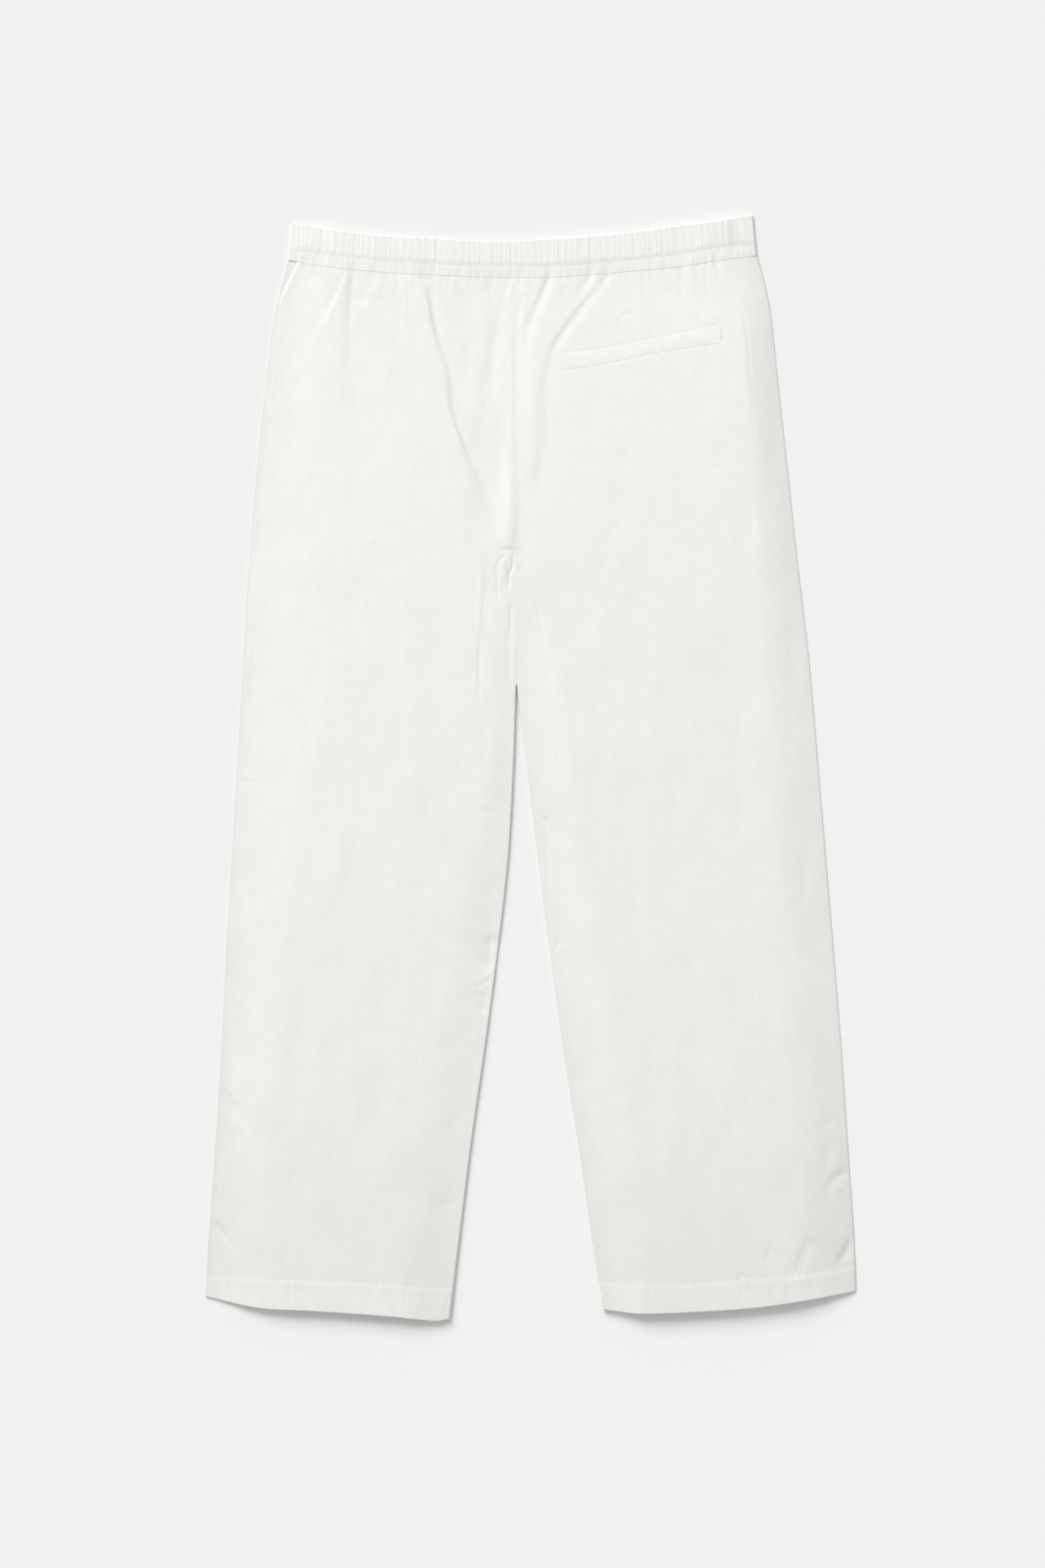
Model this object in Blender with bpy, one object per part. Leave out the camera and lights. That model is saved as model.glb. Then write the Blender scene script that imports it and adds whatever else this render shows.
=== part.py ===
"""Linen drawstring trousers, laid flat on a surface with the back side up.

Frame: millimetres in the tables, metres in the model.  +X is the wearer's
right, +Y runs up the garment from the hems to the waistband, +Z is up from
the surface that the cloth lies on.  The origin is the middle of the
garment's bounding box, at the level of that surface.

Every leg is a flattened tube.  Its lower layer is the front panel, flat on
the surface.  The front panel rolls round both folded edges and ends a little
way in on the upper layer, at the side seam and at the inseam.  The back
panel is the rest of the upper layer.  The two inseams and the two crotch
seams meet at one point in view on the back; below it the front crotch seam
runs down between two tongues of front panel to the top of the gap between
the legs, turns round the fold there and goes back up underneath.
"""
import math
from collections import namedtuple

import bmesh
import bpy
from mathutils import Vector
from mathutils.bvhtree import BVHTree

MM = 0.001

# Driving sizes, in millimetres.
CLOTH = 1.2           # wall of one layer of linen
HEM_WALL = 2.2        # the cloth turned up inside a hem
HEM_DEPTH = 26.0
BAND_WALL = 2.8       # waistband: cloth folded over its elastic
SEAM_GAP = 0.3        # between two pieces that are sewn together
BEND_STEPS = 4        # facets round a folded edge
WELT_WALL = 1.2
WELT_CLEAR = 0.45     # welt above the panel it is sewn to
HOLE_WIDTH = 3.0      # cord holes in the front of the waistband
HOLE_SPREAD = 24.0    # between the two holes
ORIGIN_X = -0.23      # the middle of the garment's bounding box
ORIGIN_Y = 0.23

LEFT, RIGHT = "left", "right"

# The waistband: its seam to the body and its top edge, across the garment.
Waist = namedtuple("Waist", "x seam_y top_y")
WAIST = [
    Waist(-235.5, 491.4, 527.3),
    Waist(-193.6, 483.9, 520.6),
    Waist(-150.9, 479.5, 515.1),
    Waist(-98.0, 476.4, 512.3),
    Waist(-37.1, 474.0, 508.8),
    Waist(17.4, 474.0, 511.6),
    Waist(57.7, 476.4, 513.9),
    Waist(108.2, 480.7, 519.0),
    Waist(149.3, 484.7, 524.6),
    Waist(179.3, 489.8, 528.5),
    Waist(217.3, 495.3, 535.2),
]
# Ends of the waistband, at its seam and at its top edge.
BAND_LEFT = (-235.2, -232.4)
BAND_RIGHT = (218.8, 215.2)

# Folded outer edges of the body and the legs.
Side = namedtuple("Side", "y left right")
OUTER_EDGE = [
    Side(497.0, -235.2, 218.9),
    Side(486.0, -237.4, 222.2),
    Side(462.0, -243.3, 228.2),
    Side(438.4, -248.9, 232.6),
    Side(391.0, -255.2, 237.6),
    Side(296.0, -265.4, 248.1),
    Side(201.0, -273.3, 258.3),
    Side(106.7, -278.9, 269.4),
    Side(11.9, -284.4, 277.7),
    Side(-83.0, -289.9, 285.6),
    Side(-177.8, -295.5, 293.5),
    Side(-272.6, -300.2, 301.0),
    Side(-367.4, -306.1, 307.3),
    Side(-462.0, -312.8, 313.6),
    Side(-535.0, -316.4, 315.4),
]

# Folded inner edges of the legs, below the gap's top.
INNER_EDGE = [
    Side(80.6, -14.0, -13.6),
    Side(47.4, -15.8, -10.3),
    Side(11.9, -16.4, -5.1),
    Side(-83.0, -22.1, 5.9),
    Side(-177.8, -32.0, 18.2),
    Side(-272.6, -44.6, 31.2),
    Side(-367.4, -58.1, 46.2),
    Side(-462.0, -69.5, 60.0),
    Side(-535.0, -78.2, 72.0),
]

# Lower edge of each hem, across the leg.
Hem = namedtuple("Hem", "x y")
HEM = {
    LEFT: [
        Hem(-316.5, -511.7),
        Hem(-265.4, -520.6),
        Hem(-208.6, -523.8),
        Hem(-133.5, -529.3),
        Hem(-92.0, -534.4),
        Hem(-78.5, -533.4),
    ],
    RIGHT: [
        Hem(71.0, -524.6),
        Hem(105.9, -527.7),
        Hem(171.4, -525.4),
        Hem(215.7, -522.2),
        Hem(250.4, -517.5),
        Hem(281.2, -512.7),
        Hem(315.5, -507.0),
    ],
}

# Side seams: how far in from the folded edge they lie on the upper layer.
SIDE_SEAM = [
    Side(497.0, 12.0, 45.0),
    Side(478.0, 11.0, 42.0),
    Side(447.0, 6.5, 31.0),
    Side(431.0, 5.5, 26.5),
    Side(392.0, 5.0, 26.0),
    Side(312.0, 5.5, 29.0),
    Side(190.0, 8.0, 27.0),
    Side(-24.0, 15.0, 26.0),
    Side(-400.0, 21.0, 24.0),
    Side(-535.0, 27.0, 25.0),
]

# Seams in the middle of the back: the centre-back seam down to the crotch
# point, then the front crotch seam down to the top of the gap.
Line = namedtuple("Line", "y x")
CENTRE_SEAM = [
    Line(476.0, -9.6),
    Line(462.0, -12.4),
    Line(448.0, -14.2),
    Line(387.0, -15.8),
    Line(308.0, -15.0),
    Line(268.6, -15.9),
    Line(228.0, -19.6),
    Line(211.7, -20.6),
    Line(189.6, -18.6),
    Line(158.0, -19.4),
    Line(134.0, -17.6),
    Line(110.6, -15.2),
    Line(80.6, -13.8),
]
# The centre-front seam, on the lower layer.
FRONT_SEAM = [
    Line(476.0, -11.0),
    Line(211.7, -12.6),
    Line(80.6, -13.8),
]
# Inseams from the crotch point down to where they follow the inner edges.
INSEAM = {
    LEFT: [
        Line(211.7, -20.6),
        Line(197.5, -31.6),
        Line(180.0, -39.5),
        Line(158.0, -45.8),
        Line(133.5, -49.0),
        Line(74.3, -50.2),
        Line(-47.4, -43.5),
        Line(-126.4, -38.5),
        Line(-205.0, -42.7),
        Line(-367.4, -64.4),
        Line(-535.0, -84.2),
    ],
    RIGHT: [
        Line(211.7, -20.6),
        Line(204.6, -12.8),
        Line(184.0, -2.4),
        Line(173.8, 1.8),
        Line(150.0, 7.4),
        Line(117.7, 14.6),
        Line(71.1, 20.5),
        Line(-7.9, 25.4),
        Line(-86.9, 27.0),
        Line(-166.0, 29.8),
        Line(-245.0, 35.4),
        Line(-367.4, 52.4),
        Line(-535.0, 78.4),
    ],
}
CROTCH_Y = 211.7
TONGUE_Y = 204.0      # where a tongue's blunt tip begins
GAP_TOP_Y = 80.6      # where the legs part
FOLD_START_Y = 66.0   # where the inner edges are whole folds

# How high the cloth stands: radius of its folded edges, height of the upper
# layer midway across, and how far in from an edge it gets there.
Loft = namedtuple("Loft", "y bend middle reach")
LOFT = [
    Loft(497.0, 3.1, 6.4, 40.0),
    Loft(470.0, 2.6, 6.2, 50.0),
    Loft(420.0, 2.2, 5.6, 60.0),
    Loft(330.0, 2.0, 5.0, 70.0),
    Loft(210.0, 1.9, 4.4, 70.0),
    Loft(80.0, 1.8, 3.8, 60.0),
    Loft(-120.0, 1.8, 3.4, 60.0),
    Loft(-330.0, 1.9, 3.4, 60.0),
    Loft(-440.0, 2.1, 3.9, 70.0),
    Loft(-490.0, 2.5, 5.4, 80.0),
    Loft(-535.0, 2.7, 7.2, 90.0),
]

# Largest folds of the upper layer, each along a line down the cloth, with
# its height there, and its reach to the left and the right of the line.
# A negative height is a trough.
Fold = namedtuple("Fold", "y x height left right")
FOLDS = {
    "left_diagonal": [
        Fold(476.0, -104.0, 1.2, 26.0, 9.0),
        Fold(445.0, -96.0, 2.8, 28.0, 9.0),
        Fold(419.0, -89.5, 3.4, 30.0, 9.0),
        Fold(379.0, -82.0, 3.2, 30.0, 9.0),
        Fold(348.0, -78.5, 3.6, 30.0, 9.0),
        Fold(300.0, -62.0, 4.0, 28.0, 9.0),
        Fold(253.0, -46.5, 2.8, 24.0, 9.0),
        Fold(229.0, -36.0, 1.0, 20.0, 9.0),
    ],
    "left_diagonal_foot": [
        Fold(470.0, -86.0, -0.6, 9.0, 22.0),
        Fold(410.0, -72.0, -1.4, 9.0, 24.0),
        Fold(348.0, -62.0, -1.6, 9.0, 22.0),
        Fold(290.0, -46.0, -1.6, 9.0, 18.0),
        Fold(235.0, -34.0, -0.6, 9.0, 12.0),
    ],
    "left_gather": [
        Fold(480.0, -174.0, -1.6, 9.0, 9.0),
        Fold(430.0, -174.0, -1.4, 10.0, 10.0),
        Fold(360.0, -172.0, -0.9, 13.0, 13.0),
        Fold(250.0, -170.0, -0.1, 16.0, 16.0),
    ],
    "left_hip_ridge": [
        Fold(484.0, -178.0, 1.2, 9.0, 9.0),
        Fold(450.0, -192.0, 1.4, 10.0, 10.0),
        Fold(415.0, -207.0, 0.2, 12.0, 12.0),
    ],
    "left_edge_ridge": [
        Fold(486.0, -224.0, 1.0, 8.0, 8.0),
        Fold(462.0, -234.0, 0.9, 8.0, 8.0),
        Fold(438.0, -243.0, 0.1, 8.0, 8.0),
    ],
    "centre_left_valley": [
        Fold(462.0, -28.0, -0.4, 9.0, 9.0),
        Fold(410.0, -35.0, -1.2, 10.0, 10.0),
        Fold(355.0, -42.0, -0.8, 10.0, 10.0),
        Fold(300.0, -37.0, -0.9, 9.0, 9.0),
        Fold(262.0, -33.0, -0.1, 9.0, 9.0),
    ],
    "centre_valley": [
        Fold(460.0, -9.0, -0.6, 8.0, 12.0),
        Fold(400.0, -11.0, -1.6, 8.0, 13.0),
        Fold(320.0, -10.0, -1.2, 8.0, 13.0),
        Fold(290.0, -10.0, -0.1, 8.0, 13.0),
    ],
    "centre_ridge": [
        Fold(300.0, -19.0, 0.2, 9.0, 9.0),
        Fold(260.0, -20.0, 1.4, 9.0, 9.0),
        Fold(222.0, -22.0, 1.6, 9.0, 9.0),
        Fold(200.0, -22.0, 0.2, 9.0, 9.0),
    ],
    "right_diagonal": [
        Fold(468.0, 62.0, -0.2, 12.0, 12.0),
        Fold(452.0, 52.0, -1.2, 13.0, 13.0),
        Fold(430.0, 38.0, -1.6, 13.0, 13.0),
        Fold(405.0, 24.0, -1.4, 12.0, 12.0),
        Fold(370.0, 16.0, -1.2, 12.0, 12.0),
        Fold(310.0, 14.0, -1.0, 12.0, 12.0),
        Fold(270.0, 8.0, -0.1, 12.0, 12.0),
    ],
    "right_gather": [
        Fold(472.0, 15.0, -1.0, 8.0, 8.0),
        Fold(446.0, 8.0, -1.2, 9.0, 9.0),
        Fold(410.0, -2.0, -0.1, 9.0, 9.0),
    ],
}

# The welt of the back pocket.
Welt = namedtuple("Welt", "x upper_y lower_y")
WELT = [
    Welt(24.3, 399.0, 383.6),
    Welt(57.7, 402.6, 388.2),
    Welt(90.0, 408.0, 394.4),
    Welt(118.5, 413.5, 400.6),
    Welt(150.9, 420.3, 405.8),
    Welt(184.2, 427.0, 410.6),
]

# Parts of the grids: how many cells in each, and how they crowd to one end.
BACK_CELLS = 16
TONGUE_CELLS = 3
UNDER_CELLS = 7
STRIP_CELLS = 2
BAND_CELLS = 13
BAND_ROWS = (0.0, 0.2, 0.34, 0.5, 0.85, 1.0)

Colour = namedtuple("Colour", "name rgb roughness")
LINEN = Colour("linen", (0.86, 0.85, 0.82), 0.92)


def follow(table, column, at):
    """A smooth line through a table's column; the first column is the place."""
    keys = [row[0] for row in table]
    values = [getattr(row, column) for row in table]
    if keys[0] > keys[-1]:
        keys, values = keys[::-1], values[::-1]
    last = len(keys) - 1
    slopes = []
    for i in range(last + 1):
        a, b = max(i - 1, 0), min(i + 1, last)
        slopes.append((values[b] - values[a]) / (keys[b] - keys[a]))
    if at <= keys[0]:
        return values[0] + slopes[0] * (at - keys[0])
    if at >= keys[-1]:
        return values[-1] + slopes[-1] * (at - keys[-1])
    i = max(k for k in range(last) if keys[k] <= at)
    step = keys[i + 1] - keys[i]
    t = (at - keys[i]) / step
    return (
        values[i] * (1 + 2 * t) * (1 - t) ** 2
        + slopes[i] * step * t * (1 - t) ** 2
        + values[i + 1] * t * t * (3 - 2 * t)
        + slopes[i + 1] * step * t * t * (t - 1)
    )


def clamp(value, low, high):
    return max(low, min(high, value))


def ease(t):
    t = clamp(t, 0.0, 1.0)
    return t * t * (3 - 2 * t)


def sign(side):
    """The way to the outer edge."""
    return -1.0 if side == LEFT else 1.0


def row_y(side, down, x):
    """The y of a line across the cloth, from the waist (0) to the hem (1)."""
    top = follow(WAIST, "seam_y", x) - SEAM_GAP
    hem = HEM[side]
    low = follow(hem, "y", clamp(x, hem[0].x, hem[-1].x))
    return top + (low - top) * down


def down_at(side, x, y):
    """The line across the cloth that passes through a point."""
    top, low = row_y(side, 0.0, x), row_y(side, 1.0, x)
    return (top - y) / (top - low)


def meet(side, down, line):
    """Where a line across the cloth meets a line down it."""
    y = row_y(side, down, sign(side) * 150.0)
    for _ in range(8):
        y = row_y(side, down, line(y))
    return line(y), y


def outer_x(side, y):
    return follow(OUTER_EDGE, side, y)


def inner_x(side, y):
    return follow(INNER_EDGE, side, y)


def bend(y):
    return follow(LOFT, "bend", y)


def side_seam_x(side, y):
    return outer_x(side, y) - sign(side) * follow(SIDE_SEAM, side, y)


def centre_x(y):
    return follow(CENTRE_SEAM, "x", y)


def front_x(y):
    return follow(FRONT_SEAM, "x", y)


def back_inner_x(side, y):
    """The back panel's inner line: centre-back seam, then inseam."""
    if y >= CROTCH_Y:
        return centre_x(y)
    return follow(INSEAM[side], "x", y)


def folds(x, y):
    total = 0.0
    for rows in FOLDS.values():
        top, low = rows[0].y, rows[-1].y
        if not low - 20.0 < y < top + 12.0:
            continue
        at = clamp(y, low, top)
        gone = ease((y - top) / 12.0) if y > top else ease((low - y) / 20.0)
        off = x - follow(rows, "x", at)
        wide = follow(rows, "left" if off < 0 else "right", at)
        total += (
            follow(rows, "height", at)
            * (1.0 - gone)
            * math.exp(-((off / wide) ** 2))
        )
    return total


def height(side, x, y):
    """The upper face of the upper layer."""
    edge = 2.0 * bend(y)
    middle = follow(LOFT, "middle", y)
    reach = follow(LOFT, "reach", y)
    out = abs(outer_x(side, y) - x) - bend(y)
    if y > GAP_TOP_Y:
        into = math.hypot(x - centre_x(y), y - GAP_TOP_Y)
    else:
        into = abs(inner_x(side, y) - x) - bend(y)
    near = min(ease(out / reach), ease(into / reach))
    return edge + (middle - edge) * near + folds(x, y) * ease(out / 12.0)


def top_point(side, x, y, thick):
    """A point on the upper layer, outside and inside."""
    e = 0.5
    sx = (height(side, x + e, y) - height(side, x - e, y)) / (2 * e)
    sy = (height(side, x, y + e) - height(side, x, y - e)) / (2 * e)
    n = Vector((-sx, -sy, 1.0)).normalized()
    p = Vector((x, y, height(side, x, y)))
    return p, p - n * thick


def under_point(x, y, thick):
    return Vector((x, y, 0.0)), Vector((x, y, thick))


def bend_point(edge, y, way, slope, radius, turn, thick):
    """A point round a folded edge; turn runs from -90 (under) to 90 (top)."""
    c, s = math.cos(turn), math.sin(turn)
    out = Vector((way, -way * slope, 0.0)).normalized()
    p = Vector((edge - way * radius + way * radius * c, y, radius + radius * s))
    n = out * c + Vector((0.0, 0.0, s))
    return p, p - n * thick


def graded(count, crowd):
    """count cells from 0 to 1, closer together at the end when crowd > 1."""
    return [1.0 - (1.0 - i / count) ** crowd for i in range(count + 1)]


def lines_down(side):
    """The lines across the cloth: y at the centre, and the wall there."""
    x = centre_x(GAP_TOP_Y)
    hem_top = 1.0 - HEM_DEPTH / (row_y(side, 0.0, x) - row_y(side, 1.0, x))
    levels = [row_y(side, 0.0, x)]
    levels += [462.0, 448.0, 434.0, 420.0, 404.0, 386.0, 366.0, 346.0, 326.0]
    levels += [304.0, 282.0, 260.0, 240.0, 224.0]
    levels += [CROTCH_Y, TONGUE_Y, 190.0, 168.0, 134.0, 106.0]
    levels += [GAP_TOP_Y, FOLD_START_Y, 20.0, -50.0, -130.0, -220.0, -320.0]
    levels += [-410.0, -470.0]
    rows = [(down_at(side, x, y), CLOTH) for y in levels]
    rows += [(hem_top - 0.0006, CLOTH), (hem_top, HEM_WALL), (1.0, HEM_WALL)]
    return rows


def wall(name, grid, cells):
    """A closed wall from a grid of (outside, inside) points and its cells.

    A cell (r, c) spans rows r to r+1 and columns c to c+1.
    """
    mesh = bmesh.new()
    outer, inner = {}, {}
    for r, c in cells:
        for key in ((r, c), (r, c + 1), (r + 1, c + 1), (r + 1, c)):
            if key not in outer:
                a, b = grid[key]
                outer[key] = mesh.verts.new((a + SHIFT) * MM)
                inner[key] = mesh.verts.new((b + SHIFT) * MM)
    edges = {}
    for r, c in cells:
        ring = [(r, c), (r + 1, c), (r + 1, c + 1), (r, c + 1)]
        mesh.faces.new([outer[k] for k in ring])
        mesh.faces.new([inner[k] for k in reversed(ring)])
        for a, b in zip(ring, ring[1:] + ring[:1]):
            if (b, a) in edges:
                del edges[(b, a)]
            else:
                edges[(a, b)] = True
    for a, b in edges:
        mesh.faces.new([outer[b], outer[a], inner[a], inner[b]])
    bmesh.ops.recalc_face_normals(mesh, faces=mesh.faces)
    data = bpy.data.meshes.new(name)
    mesh.to_mesh(data)
    mesh.free()
    return place(name, data)


def place(name, data):
    item = bpy.data.objects.new(name, data)
    bpy.context.scene.collection.objects.link(item)
    item.parent = bpy.data.objects["trousers"]
    item.data.materials.append(linen(name))
    return item


def linen(name):
    made = bpy.data.materials.new(LINEN.name + "_" + name)
    made.use_nodes = True
    shader = made.node_tree.nodes["Principled BSDF"]
    shader.inputs["Base Color"].default_value = (*LINEN.rgb, 1.0)
    shader.inputs["Roughness"].default_value = LINEN.roughness
    shader.inputs["Metallic"].default_value = 0.0
    return made


SHIFT = Vector((-ORIGIN_X, -ORIGIN_Y, 0.0))


def back_panel(side):
    grid, cells = {}, []
    way = sign(side)
    rows = lines_down(side)
    for r, (down, thick) in enumerate(rows):
        x0, _ = meet(side, down, lambda y: side_seam_x(side, y))
        x1, _ = meet(side, down, lambda y: back_inner_x(side, y))
        x0 -= way * SEAM_GAP / 2
        x1 += way * SEAM_GAP / 2
        for c, t in enumerate(graded(BACK_CELLS, 1.15)):
            x = x0 + (x1 - x0) * t
            y = row_y(side, down, x)
            grid[r, c] = top_point(side, x, y, thick)
            if r and c:
                cells.append((r - 1, c - 1))
    return wall("back_panel_" + side, grid, cells)


def front_panel(side):
    """Columns run from the inseam round the inner fold, under, round the
    outer fold and up to the side seam."""
    grid, cells = {}, []
    way = sign(side)
    rows = lines_down(side)
    x_mid = centre_x(GAP_TOP_Y)
    tongue = down_at(side, x_mid, TONGUE_Y)
    gap_top = down_at(side, x_mid, GAP_TOP_Y)
    fold = down_at(side, x_mid, FOLD_START_Y)
    c_bend = TONGUE_CELLS
    c_under = c_bend + BEND_STEPS
    c_outer = c_under + UNDER_CELLS
    c_strip = c_outer + BEND_STEPS
    c_last = c_strip + STRIP_CELLS
    for r, (down, thick) in enumerate(rows):
        seam_x, _ = meet(side, down, lambda y: back_inner_x(side, y))
        seam_x -= way * SEAM_GAP / 2
        mid_x, _ = meet(side, down, centre_x)
        mid_x += way * SEAM_GAP / 2
        front, _ = meet(side, down, front_x)
        front += way * SEAM_GAP / 2
        edge_x, edge_y = meet(side, down, lambda y: inner_x(side, y))
        out_x, out_y = meet(side, down, lambda y: outer_x(side, y))
        strip_x, _ = meet(side, down, lambda y: side_seam_x(side, y))
        strip_x += way * SEAM_GAP / 2
        r_in, r_out = bend(edge_y), bend(out_y)
        # The inner lines of both layers: the centre seams, then the fold.
        part = clamp((down - gap_top) / (fold - gap_top), 0.0, 1.0)
        in_x = mid_x + (edge_x + way * r_in - mid_x) * part
        low_x = front + (edge_x + way * r_in - front) * part
        for c in range(TONGUE_CELLS + 1):
            x = seam_x + (in_x - seam_x) * c / TONGUE_CELLS
            if down >= tongue - 1e-6:
                grid[r, c] = top_point(side, x, row_y(side, down, x), thick)
        if down >= fold - 1e-6:
            slope = (inner_x(side, edge_y + 1) - inner_x(side, edge_y - 1)) / 2
            for k in range(1, BEND_STEPS):
                turn = math.pi / 2 - math.pi * k / BEND_STEPS
                grid[r, c_bend + k] = bend_point(
                    edge_x, edge_y, -way, slope, r_in, turn, thick
                )
        for k in range(UNDER_CELLS + 1):
            x = low_x + (out_x - way * r_out - low_x) * k / UNDER_CELLS
            grid[r, c_under + k] = under_point(x, row_y(side, down, x), thick)
        slope = (outer_x(side, out_y + 1) - outer_x(side, out_y - 1)) / 2
        for k in range(1, BEND_STEPS):
            turn = -math.pi / 2 + math.pi * k / BEND_STEPS
            grid[r, c_outer + k] = bend_point(
                out_x, out_y, way, slope, r_out, turn, thick
            )
        for k in range(STRIP_CELLS + 1):
            x0 = out_x - way * r_out
            x = x0 + (strip_x - x0) * k / STRIP_CELLS
            grid[r, c_strip + k] = top_point(side, x, row_y(side, down, x), thick)
        if not r:
            continue
        for c in range(c_last):
            first = (
                tongue if c < c_bend else fold if c < c_under else 0.0
            )
            if rows[r - 1][0] >= first - 1e-6:
                cells.append((r - 1, c))
    return wall("front_panel_" + side, grid, cells)


def band_z(part):
    """Outer face of the upper half of the waistband, seam to top edge."""
    groove = 0.7 * math.exp(-(((part - 0.34) / 0.07) ** 2))
    roll = 0.9 * (part ** 6)
    return 7.6 - groove - roll


def waistband():
    grid, cells = {}, []
    seam_mid = -19.0
    for r, part in enumerate(BAND_ROWS):
        left = BAND_LEFT[0] + (BAND_LEFT[1] - BAND_LEFT[0]) * part
        right = BAND_RIGHT[0] + (BAND_RIGHT[1] - BAND_RIGHT[0]) * part
        radius = band_z(part) / 2
        loop = []

        def on(x, fall):
            low = follow(WAIST, "seam_y", x)
            y = low + (follow(WAIST, "top_y", x) - low) * part
            # The front half shows a little above the back half here.
            rise = 2.0 * math.exp(-(((x - 144.0) / 26.0) ** 2))
            return y + rise * part * fall

        def top(x):
            swell = 0.5 * math.exp(-(((x - seam_mid) / 140.0) ** 2))
            z = band_z(part) + swell
            y = on(x, 0.0)
            return Vector((x, y, z)), Vector((x, y, z - BAND_WALL))

        def under(x):
            y = on(x, 1.0)
            return Vector((x, y, 0.0)), Vector((x, y, BAND_WALL))

        def across(a, b, count):
            return [a + (b - a) * i / count for i in range(count + 1)]

        half = SEAM_GAP / 2
        loop += [top(x) for x in across(seam_mid + half, right - radius, 7)]
        for k in range(1, BEND_STEPS + 1):
            turn = math.pi / 2 - math.pi * k / BEND_STEPS
            if k == BEND_STEPS:
                break
            loop.append(
                bend_point(right, on(right, 0.0), 1.0, 0.0, radius, turn, BAND_WALL)
            )
        hole = HOLE_WIDTH / 2
        first = HOLE_SPREAD / 2 + hole
        xs = across(right - radius, seam_mid + first, 6)
        holes = []
        for middle in (seam_mid + HOLE_SPREAD / 2, seam_mid - HOLE_SPREAD / 2):
            if middle < seam_mid:
                xs.append(middle + hole)
            holes.append(len(loop) + len(xs) - 1)
            xs.append(middle - hole)
        xs += across(seam_mid - first, left + radius, 6)[1:]
        loop += [under(x) for x in xs]
        for k in range(1, BEND_STEPS):
            turn = -math.pi / 2 + math.pi * k / BEND_STEPS
            loop.append(
                bend_point(left, on(left, 0.0), -1.0, 0.0, radius, turn, BAND_WALL)
            )
        loop += [top(x) for x in across(left + radius, seam_mid - half, 7)]
        for c, pair in enumerate(loop):
            grid[r, c] = pair
            if r and c:
                # A cord hole passes through the wall in the middle rows.
                if c - 1 in holes and r in (3, 4):
                    continue
                cells.append((r - 1, c - 1))
    return wall("waistband", grid, cells)


def pocket_welt(panel):
    """A strip made from the panel's own points, moved out."""
    tree = BVHTree.FromObject(panel, bpy.context.evaluated_depsgraph_get())
    grid, cells = {}, []
    count = 22
    for c in range(count + 1):
        x = WELT[0].x + (WELT[-1].x - WELT[0].x) * c / count
        for r in range(4):
            up, low = follow(WELT, "upper_y", x), follow(WELT, "lower_y", x)
            y = up + (low - up) * r / 3
            at = (Vector((x, y, 60.0)) + SHIFT) * MM
            hit = tree.ray_cast(at, Vector((0.0, 0.0, -1.0)))[0]
            z = hit.z / MM + WELT_CLEAR
            grid[r, c] = (Vector((x, y, z + WELT_WALL)), Vector((x, y, z)))
            if r and c:
                cells.append((r - 1, c - 1))
    return wall("back_pocket_welt", grid, cells)


def main():
    for item in list(bpy.data.objects):
        bpy.data.objects.remove(item, do_unlink=True)
    root = bpy.data.objects.new("trousers", None)
    bpy.context.scene.collection.objects.link(root)
    for side in (LEFT, RIGHT):
        front_panel(side)
    panels = {side: back_panel(side) for side in (LEFT, RIGHT)}
    waistband()
    bpy.context.view_layer.update()
    pocket_welt(panels[RIGHT])


main()
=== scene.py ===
import math
from collections import namedtuple

import bpy
import numpy as np
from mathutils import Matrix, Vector


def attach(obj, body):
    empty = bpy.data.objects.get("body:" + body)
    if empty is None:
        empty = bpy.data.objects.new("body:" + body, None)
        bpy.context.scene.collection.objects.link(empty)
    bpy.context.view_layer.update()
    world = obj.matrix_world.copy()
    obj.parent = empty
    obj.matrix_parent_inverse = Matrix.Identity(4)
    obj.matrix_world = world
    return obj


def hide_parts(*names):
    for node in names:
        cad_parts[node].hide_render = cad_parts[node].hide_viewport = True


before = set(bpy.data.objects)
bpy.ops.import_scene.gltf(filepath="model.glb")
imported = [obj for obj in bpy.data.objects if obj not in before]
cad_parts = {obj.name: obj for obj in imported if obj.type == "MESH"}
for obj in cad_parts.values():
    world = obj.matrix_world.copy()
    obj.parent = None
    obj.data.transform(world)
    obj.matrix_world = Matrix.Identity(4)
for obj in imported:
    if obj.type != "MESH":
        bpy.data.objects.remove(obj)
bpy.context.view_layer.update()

MM = 0.001
SHIFT = np.array([0.23, -0.23, 0.0])

CLOTH = 0.45          # one layer of linen
HEM_WALL = 0.95       # the cloth turned up at a hem
HEM_RISE = 0.22       # how far it lifts the face
BAND_WALL = 2.3       # waistband: two layers and the elastic
WELT_WALL = 0.62
SEAM_HALF = 0.004     # half the gap left between two pieces sewn together
CENTRE_JOIN = -19.0   # the join of the waistband at the centre back

LEFT, RIGHT = "left", "right"

Waist = namedtuple("Waist", "x seam_y top_y")
WAIST = [
    Waist(-235.5, 491.4, 527.3),
    Waist(-193.6, 483.9, 520.6),
    Waist(-150.9, 479.5, 515.1),
    Waist(-98.0, 476.4, 512.3),
    Waist(-37.1, 474.0, 508.8),
    Waist(17.4, 474.0, 511.6),
    Waist(57.7, 476.4, 513.9),
    Waist(108.2, 480.7, 519.0),
    Waist(149.3, 484.7, 524.6),
    Waist(179.3, 489.8, 528.5),
    Waist(217.3, 495.3, 535.2),
]
BAND_LEFT = (-235.2, -232.4)
BAND_RIGHT = (218.8, 215.2)

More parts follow.
